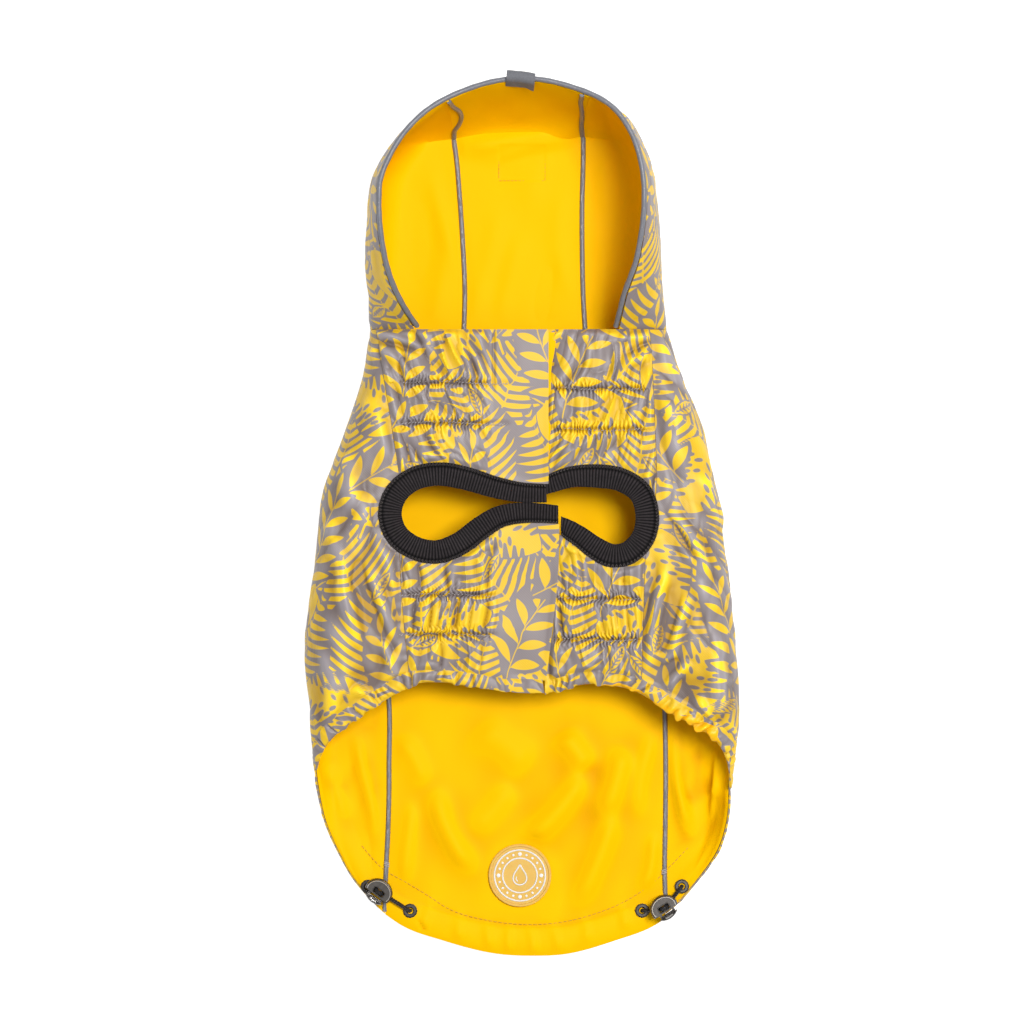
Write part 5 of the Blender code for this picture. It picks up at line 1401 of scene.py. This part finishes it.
def crownGrid(rows, columns, inset=0.1):
    # the crown from seam to seam, bulging outwards towards the rim
    grid = np.zeros((rows, columns, 3))
    for row, t in enumerate(np.linspace(0.0, 1.0, rows)):
        ends = [hoodPath(side, t)[0] for side in signOf]
        bulge = crownBulge.at(t)["out"]
        width = np.linalg.norm(ends[1] - ends[0])
        for column, u in enumerate(np.linspace(0.0, 1.0, columns)):
            share = (inset + (width - 2 * inset) * u) / width
            point = ends[0] + (ends[1] - ends[0]) * share
            point[1] = max(point[1] + bulge * 4 * share * (1 - share), neckY + 0.1)
            grid[row, column] = point
    return grid


def makeHood():
    for number, side in enumerate(signOf):
        grid = finer(hoodGrid(side, 40, 30), hood["rows"], hood["columns"])
        normal = normalsOf(grid, down)
        across, lengthways = travelled(grid, 1), travelled(grid)
        fade = edgeFade(grid, cloth["edge"])
        lift = np.maximum(clothFolds(across, lengthways, 141 + number, 1.4), -0.45)
        lift = lift * fade * ease(grid[..., 2] / 8.0)
        ink = printInk(signOf[side] * across, lengthways, hood["printAt"][side])
        face = grid + normal * lift[..., None]
        # the fold mark paints shade between the folds and highlight on their ridges
        clothSheet(f"hood_cloth_{side}", face, normal, ("print", "lining"), hood["wall"], inside=grid,
                   marks={"ink": ink, "paintedFoldShade": paintedFoldShadeMark(lift, 7, 1.1)}, nodes=(f"hood_side_{side}",))
        grid = finer(hoodGrid(side, 40, 30), hood["liningRows"], hood["liningColumns"])
        normal = normalsOf(grid, down)
        normal[-2:] = normal[-3]  # the last rows run together at the hood's corner
        fade = edgeFade(grid, cloth["edge"])
        soft = creaseHeight(grid[..., 0], grid[..., 1], hood["sideSwells"][side])
        soft = soft + 0.5 * softNoise(grid[..., 0] / 13.0, grid[..., 1] / 22.0, 151 + number)
        depth = liningTop + np.maximum(soft, -0.5) * fade
        clothSheet(f"hood_lining_cloth_{side}", grid - normal * depth[..., None], -normal, "lining",
                   nodes=(f"hood_side_lining_{side}",))

    grid = crownGrid(hood["crownRows"], hood["crownColumns"])
    normal = normalsOf(grid, down)
    across, lengthways = travelled(grid, 1), travelled(grid)
    lift = clothFolds(across, lengthways, 161, 0.4) * edgeFade(grid, cloth["edge"]) * ease(grid[..., 2] / 8.0)
    ink = printInk(across, lengthways, hood["printAt"]["crown"])
    face = grid + normal * lift[..., None]
    clothSheet("hood_crown_cloth", face, normal, ("print", "lining"), cloth["wall"], marks={"ink": ink},
               nodes=("hood_crown",), inside=grid)
    grid = crownGrid(hood["crownRows"], hood["crownColumns"], -0.8)
    normal = normalsOf(grid, down)
    fade = edgeFade(grid, cloth["edge"])
    soft = creaseHeight(grid[..., 0], grid[..., 1], hood["crownSwells"])
    soft = soft + 0.35 * softNoise(grid[..., 0] / 12.0, lengthways / 20.0, 165)
    lowX, highX = hood["patch"]["x"]
    lowY, highY = hood["patch"]["y"]
    inPatch = np.minimum(np.minimum(grid[..., 0] - lowX, highX - grid[..., 0]),
                         np.minimum(grid[..., 1] - lowY, highY - grid[..., 1]))
    depth = liningTop + np.maximum(soft, -0.5) * fade - 0.35 * ease((inPatch + 0.8) / 1.2)
    clothSheet("hood_crown_lining_cloth", grid - normal * depth[..., None], -normal, "lining", cloth["wall"],
               nodes=("hood_crown_lining",), inside=grid - normal * liningTop)
    corners = [(lowX, lowY), (highX, lowY), (highX, highY), (lowX, highY), (lowX, lowY)]
    square = along(np.array([(x, y, liningTop + 0.12) for x, y in corners]), np.linspace(0.0, 1.0, 200))
    stitchRow("hood_patch_stitches", [square], "yellowThread", stitches["patch"])
    print("hood made")


# bindings, piping and tape

trim = {"piping": 1.22, "rim": 1.3, "pipingFoot": -199.0, "tabWidth": 14.0, "tabInner": 5.6, "tabOuter": 5.0,
        "tabThick": 0.5, "tabSlack": 0.6, "tabLoose": 1.0, "tabTurn": 7.0, "tabAside": 1.4,
        # where thread crosses the back piping, and how far the hood's piping steps inward near some heights
        "crossed": {"left": (-175.2,), "right": (-178.2,)},
        "kinks": {"left": ((195.0, 4.2), (189.5, -0.6)), "right": ((200.5, 2.6), (196.5, -0.4))}}


def rimPath():
    # the middle of the binding, from the neck round the rim and back to the neck
    def edgeLine(grid):
        normal = normalsOf(grid, down)[:, -1]
        onward = unit(grid[:, -1] - grid[:, -2])
        return grid[:, -1] + onward * (hood["rim"] + cloth["gap"]) - normal * liningTop / 2

    left, right = (edgeLine(hoodGrid(side, 13, 9)) for side in signOf)
    across = edgeLine(np.swapaxes(crownGrid(14, 7, 0.25), 0, 1))
    left[0, 1] = right[0, 1] = neckY + hood["rim"] + cloth["gap"]
    return curveThrough(np.concatenate((left[:-1], across[1:-1], right[:-1][::-1])), 260)


def makeTrims():
    path = rimPath()
    place = np.arange(len(path))
    tubeAlong("rim_binding", path, trim["rim"], "binding", sides=12, nodes=("hood_rim_binding",),
              wobble=1.0 + 0.04 * np.sin(place * 0.9))
    inner = path.copy()
    inner[:, 2] += trim["rim"] * 0.9
    stitchRow("rim_stitches", [inner], "greyThread", stitches["rim"])
    crossStitches = []
    for side in signOf:
        height = cloth["outer"] + cloth["gap"] + trim["piping"]
        stations = np.linspace(trim["pipingFoot"], neckY - 0.3, 160)
        line = np.array([(signOf[side] * bodySections[side].at(y)["seam"], y, height) for y in stations])
        line[:, 0] += 0.35 * softNoise(stations / 26.0, stations * 0.0, 201)
        tubeAlong(f"back_piping_cord_{side}", line, trim["piping"], "binding", sides=10,
                  nodes=(f"back_piping_{side}",))
        for y in trim["crossed"][side]:
            nearest = line[np.argmin(np.abs(line[:, 1] - y))]
            for aside in (-0.6, 0.0, 0.6):
                across = np.array((signOf[side] * 1.5, 0.5, 0.0))
                crossStitches.append(nearest + np.outer(np.linspace(-1.0, 1.0, 4), across)
                                     + (0.0, aside * 1.4, trim["piping"] * 0.95))
        grid = crownGrid(40, 41, 0.0)
        surface = grid - normalsOf(grid, down) * height
        line = []
        for row in surface:
            shift = sum(out * math.exp(-(abs(row[0, 1] - y) / 4.0) ** 2.6) for y, out in trim["kinks"][side])
            share = shift / np.linalg.norm(row[-1] - row[0])
            share = share if side == "left" else 1.0 - share
            line.append([np.interp(share * 40.0, np.arange(41), row[:, axis]) for axis in range(3)])
        line[0][1] = neckY + cloth["gap"]
        tubeAlong(f"hood_piping_cord_{side}", curveThrough(line, 120), trim["piping"], "binding", sides=10,
                  nodes=(f"hood_piping_{side}",))
    stitchRow("piping_cross_stitches", crossStitches, "greyThread", stitches["cross"])
    print("trims made")


def makeTab():
    # a folded tape over the rim, woven and bare
    grid = crownGrid(14, 7, 0.25)
    column = grid.shape[1] // 2
    inward = -normalsOf(grid, down)[-1, column]
    onward = grid[-1, column] - grid[-2, column]
    onward /= np.linalg.norm(onward)
    centre = grid[-1, column] + onward * (hood["rim"] + cloth["gap"]) + inward * liningTop / 2
    half = hood["rim"] + 2 * cloth["gap"] + trim["tabLoose"]
    turns = np.linspace(0.0, math.pi, 13)
    profile = [centre + inward * half - onward * trim["tabInner"] * s for s in np.linspace(1.0, 0.1, 10)]
    profile += [centre + inward * half * math.cos(a) + onward * (half + trim["tabSlack"]) * math.sin(a)
                for a in turns]
    profile += [centre - inward * half - onward * trim["tabOuter"] * s for s in np.linspace(0.1, 1.0, 10)]
    columns = 29
    tape = np.repeat(np.array(profile)[:, None], columns, axis=1)
    aside = np.linspace(-0.5, 0.5, columns) * trim["tabWidth"]
    tape[..., 0] += aside
    droop = np.linspace(1.0, 0.0, 10)[:, None] * ease((aside - 2.5) / 4.0)
    tape[:10] -= onward * (0.8 * droop)[..., None] - inward * (0.5 * droop)[..., None]
    tape[..., 1] -= 4.0 * crownBulge.at(1.0)["out"] * (aside / np.ptp(grid[-1, :, 0])) ** 2
    x, y = turned(tape[..., 0] - centre[0], tape[..., 1] - centre[1], trim["tabTurn"])
    tape[..., 0], tape[..., 1] = centre[0] + x + trim["tabAside"], centre[1] + y + 0.5
    normal = normalsOf(tape, tuple(inward))
    tape = tape + normal * (0.3 + 0.12 * softNoise(tape[..., 0] / 3.0, tape[..., 2] / 3.0, 211))[..., None]
    clothSheet("woven_tape_tab", tape, normal, "tape", thickness=trim["tabThick"], nodes=("hood_tape_tab",))
    print("tab made")


makeBack()
makeSides()
makeFacing()
makeBelly()
makeCasing()
makeRibs()
makeHood()
makeTrims()
makeTab()


# hardware on the back hem

badge = {"x": -1.3, "y": -181.0, "rings": (12.7, 8.6), "dots": 20, "dotRing": 10.65,
         "field": 3.4, "line": 0.42, "shineLine": 0.34, "shine": ((1.7, 0.6), (1.9, 1.8), (1.1, 3.0)),
         "drop": ((0.0, 5.4), (-1.4, 3.0), (-2.9, 0.6), (-3.4, -1.6), (-2.4, -3.8), (0.0, -4.7), (2.4, -3.8),
                  (3.4, -1.6), (2.9, 0.6), (1.4, 3.0), (0.0, 5.4))}


def makeBadgeMark():
    # a plain mark of rings, dots and a water drop, raised in white
    for number, radius in enumerate(badge["rings"]):
        pickNothing()
        bpy.ops.mesh.primitive_torus_add(
            major_segments=96, minor_segments=8, major_radius=radius * mm, minor_radius=badge["line"] * mm,
            location=toFrame((badge["x"], badge["y"], badge["field"])))
        ring = bpy.context.object
        ring.name = f"badge_ring_{number}"
        bpy.ops.object.transform_apply(location=True, rotation=True, scale=True)
        smoothByAngle(settle(ring, "white"), 60.0)
    dots = []
    for number in range(badge["dots"]):
        angle = 2.0 * math.pi * number / badge["dots"]
        out, ahead = badge["dotRing"] * math.cos(angle), badge["dotRing"] * math.sin(angle)
        pickNothing()
        bpy.ops.mesh.primitive_cylinder_add(
            vertices=14, radius=(0.62 if number % 5 else 1.0) * mm, depth=0.0006,
            location=toFrame((badge["x"] + out, badge["y"] + ahead, badge["field"])))
        dot = bpy.context.object
        bpy.ops.object.mode_set(mode="EDIT")
        bpy.ops.mesh.select_all(action="SELECT")
        bpy.ops.mesh.bevel(offset=0.00014, segments=2)
        bpy.ops.object.mode_set(mode="OBJECT")
        bpy.ops.object.transform_apply(location=True, rotation=True, scale=True)
        dots.append(dot)
    smoothByAngle(settle(joined(dots, "badge_dots"), "white"), 40.0)
    line = [(badge["x"] + x, badge["y"] + y, badge["field"]) for x, y in badge["drop"]]
    tubeAlong("badge_drop_outline", curveThrough(line, 90), badge["line"], "white")
    line = [(badge["x"] - x, badge["y"] - y, badge["field"]) for x, y in badge["shine"]]
    tubeAlong("badge_drop_shine", curveThrough(line, 16), badge["shineLine"], "white")


def makeLockDetail(side):
    # rolled rims on the shell and the button, a lip round the slot, and grip ribs on the button's tongue
    top = lock["bottom"] + lock["height"]
    halfLong, halfWide = (lock[way] / 2 - lock["rimInset"] for way in ("length", "width"))
    shellStart = math.asin((lock["shellFrom"] + 0.45) / halfWide)
    headEnd = math.asin((lock["headTo"] - 0.35) / halfWide)
    button = f"lock_button_{side}"
    for name, body, turns in (("lock_rim", "coat", np.linspace(shellStart, math.pi - shellStart, 60)),
                              ("lock_button_rim", button, np.linspace(headEnd, -math.pi - headEnd, 30))):
        # the rims' lighter plating is a painted highlight
        rim = [lockPlace(side, halfLong * math.cos(a), halfWide * math.sin(a), top - 0.05) for a in turns]
        tubeAlong(f"{name}_{side}", rim, lock["rimRadius"], "rimMetal", body=body)
    lipLong, lipWide = lock["lip"]
    lip = [lockPlace(side, lipLong * math.copysign(abs(math.cos(a)) ** 0.5, math.cos(a)),
                     lipWide * math.copysign(abs(math.sin(a)) ** 0.5, math.sin(a)), top)
           for a in np.linspace(0.0, 2.0 * math.pi, 49)]
    tubeAlong(f"lock_slot_lip_{side}", lip, lock["lipRadius"], "metal")
    height = lock["bottom"] + lock["height"] / 2 + lock["tongueTop"]
    for number, across in enumerate(lock["grips"]):
        rib = [lockPlace(side, share * 4.0, across, height) for share in np.linspace(-1.0, 1.0, 9)]
        tubeAlong(f"lock_grip_{side}_{number}", rib, lock["gripRadius"], "metal", body=button)


def makeStitching():
    # the drawcord channel's row of stitches, across the back and on to both sides
    line = np.array(((-80.5, -166.0), (-70.0, -177.5), (-57.3, -185.0), (-49.8, -189.5), (-35.3, -198.5),
                     (-17.3, -203.5), (3.3, -205.6), (20.8, -204.2), (35.3, -200.5), (50.3, -194.5),
                     (64.8, -185.0), (73.8, -176.5), (83.8, -166.0)))
    line = curveThrough(np.column_stack((line, np.full(len(line), liningTop + 0.28))), 200)
    stitchRow("channel_stitches", [line], "yellowThread", stitches["channel"])


makeBadgeMark()
for side in signOf:
    makeLockDetail(side)
makeStitching()
for name, finish in (("cord_lock", "metal"), ("lock_button", "metal"), ("eyelet", "metal"),
                     ("rubber_badge", "amber")):
    for nodeName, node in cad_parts.items():
        if nodeName.startswith(name):
            for slot in node.material_slots:
                slot.material = finishes[finish]
print("hardware finished")


# floor, lights, world and view transform

# each light: place, size in metres and power
studio = {"floor": 4.0, "glow": 0.93, "world": 0.34,
          "lights": {"key": ((0.68, 0.40, 2.25), 0.85, 61.9), "fill": ((-1.3, -0.5, 2.0), 1.6, 5.0)}}
pickNothing()
bpy.ops.mesh.primitive_plane_add(size=studio["floor"])
floor = bpy.context.object
floor.name = "floor"
paper, _ = newMaterial("white_studio_paper")
floor.data.materials.append(finishMaterial(paper, {"Base Color": (0.35, 0.35, 0.35, 1.0), "Roughness": 0.9,
                                                   "Emission Color": (1.0, 1.0, 1.0, 1.0),
                                                   "Emission Strength": studio["glow"]}))


for name, (place, size, power) in studio["lights"].items():
    data = bpy.data.lights.new(name, "AREA")
    data.shape = "SQUARE"
    data.size = size
    data.energy = power
    light = bpy.data.objects.new(name, data)
    bpy.context.scene.collection.objects.link(light)
    light.location = place
    light.rotation_euler = (-Vector(place)).to_track_quat("-Z", "Y").to_euler()
world = bpy.data.worlds.new("studio")
world.use_nodes = True
world.node_tree.nodes["Background"].inputs["Color"].default_value = (1.0, 1.0, 1.0, 1.0)
world.node_tree.nodes["Background"].inputs["Strength"].default_value = studio["world"]
bpy.context.scene.world = world

bpy.context.scene.view_settings.view_transform = "Standard"
bpy.context.scene.view_settings.look = "None"
print("studio made")
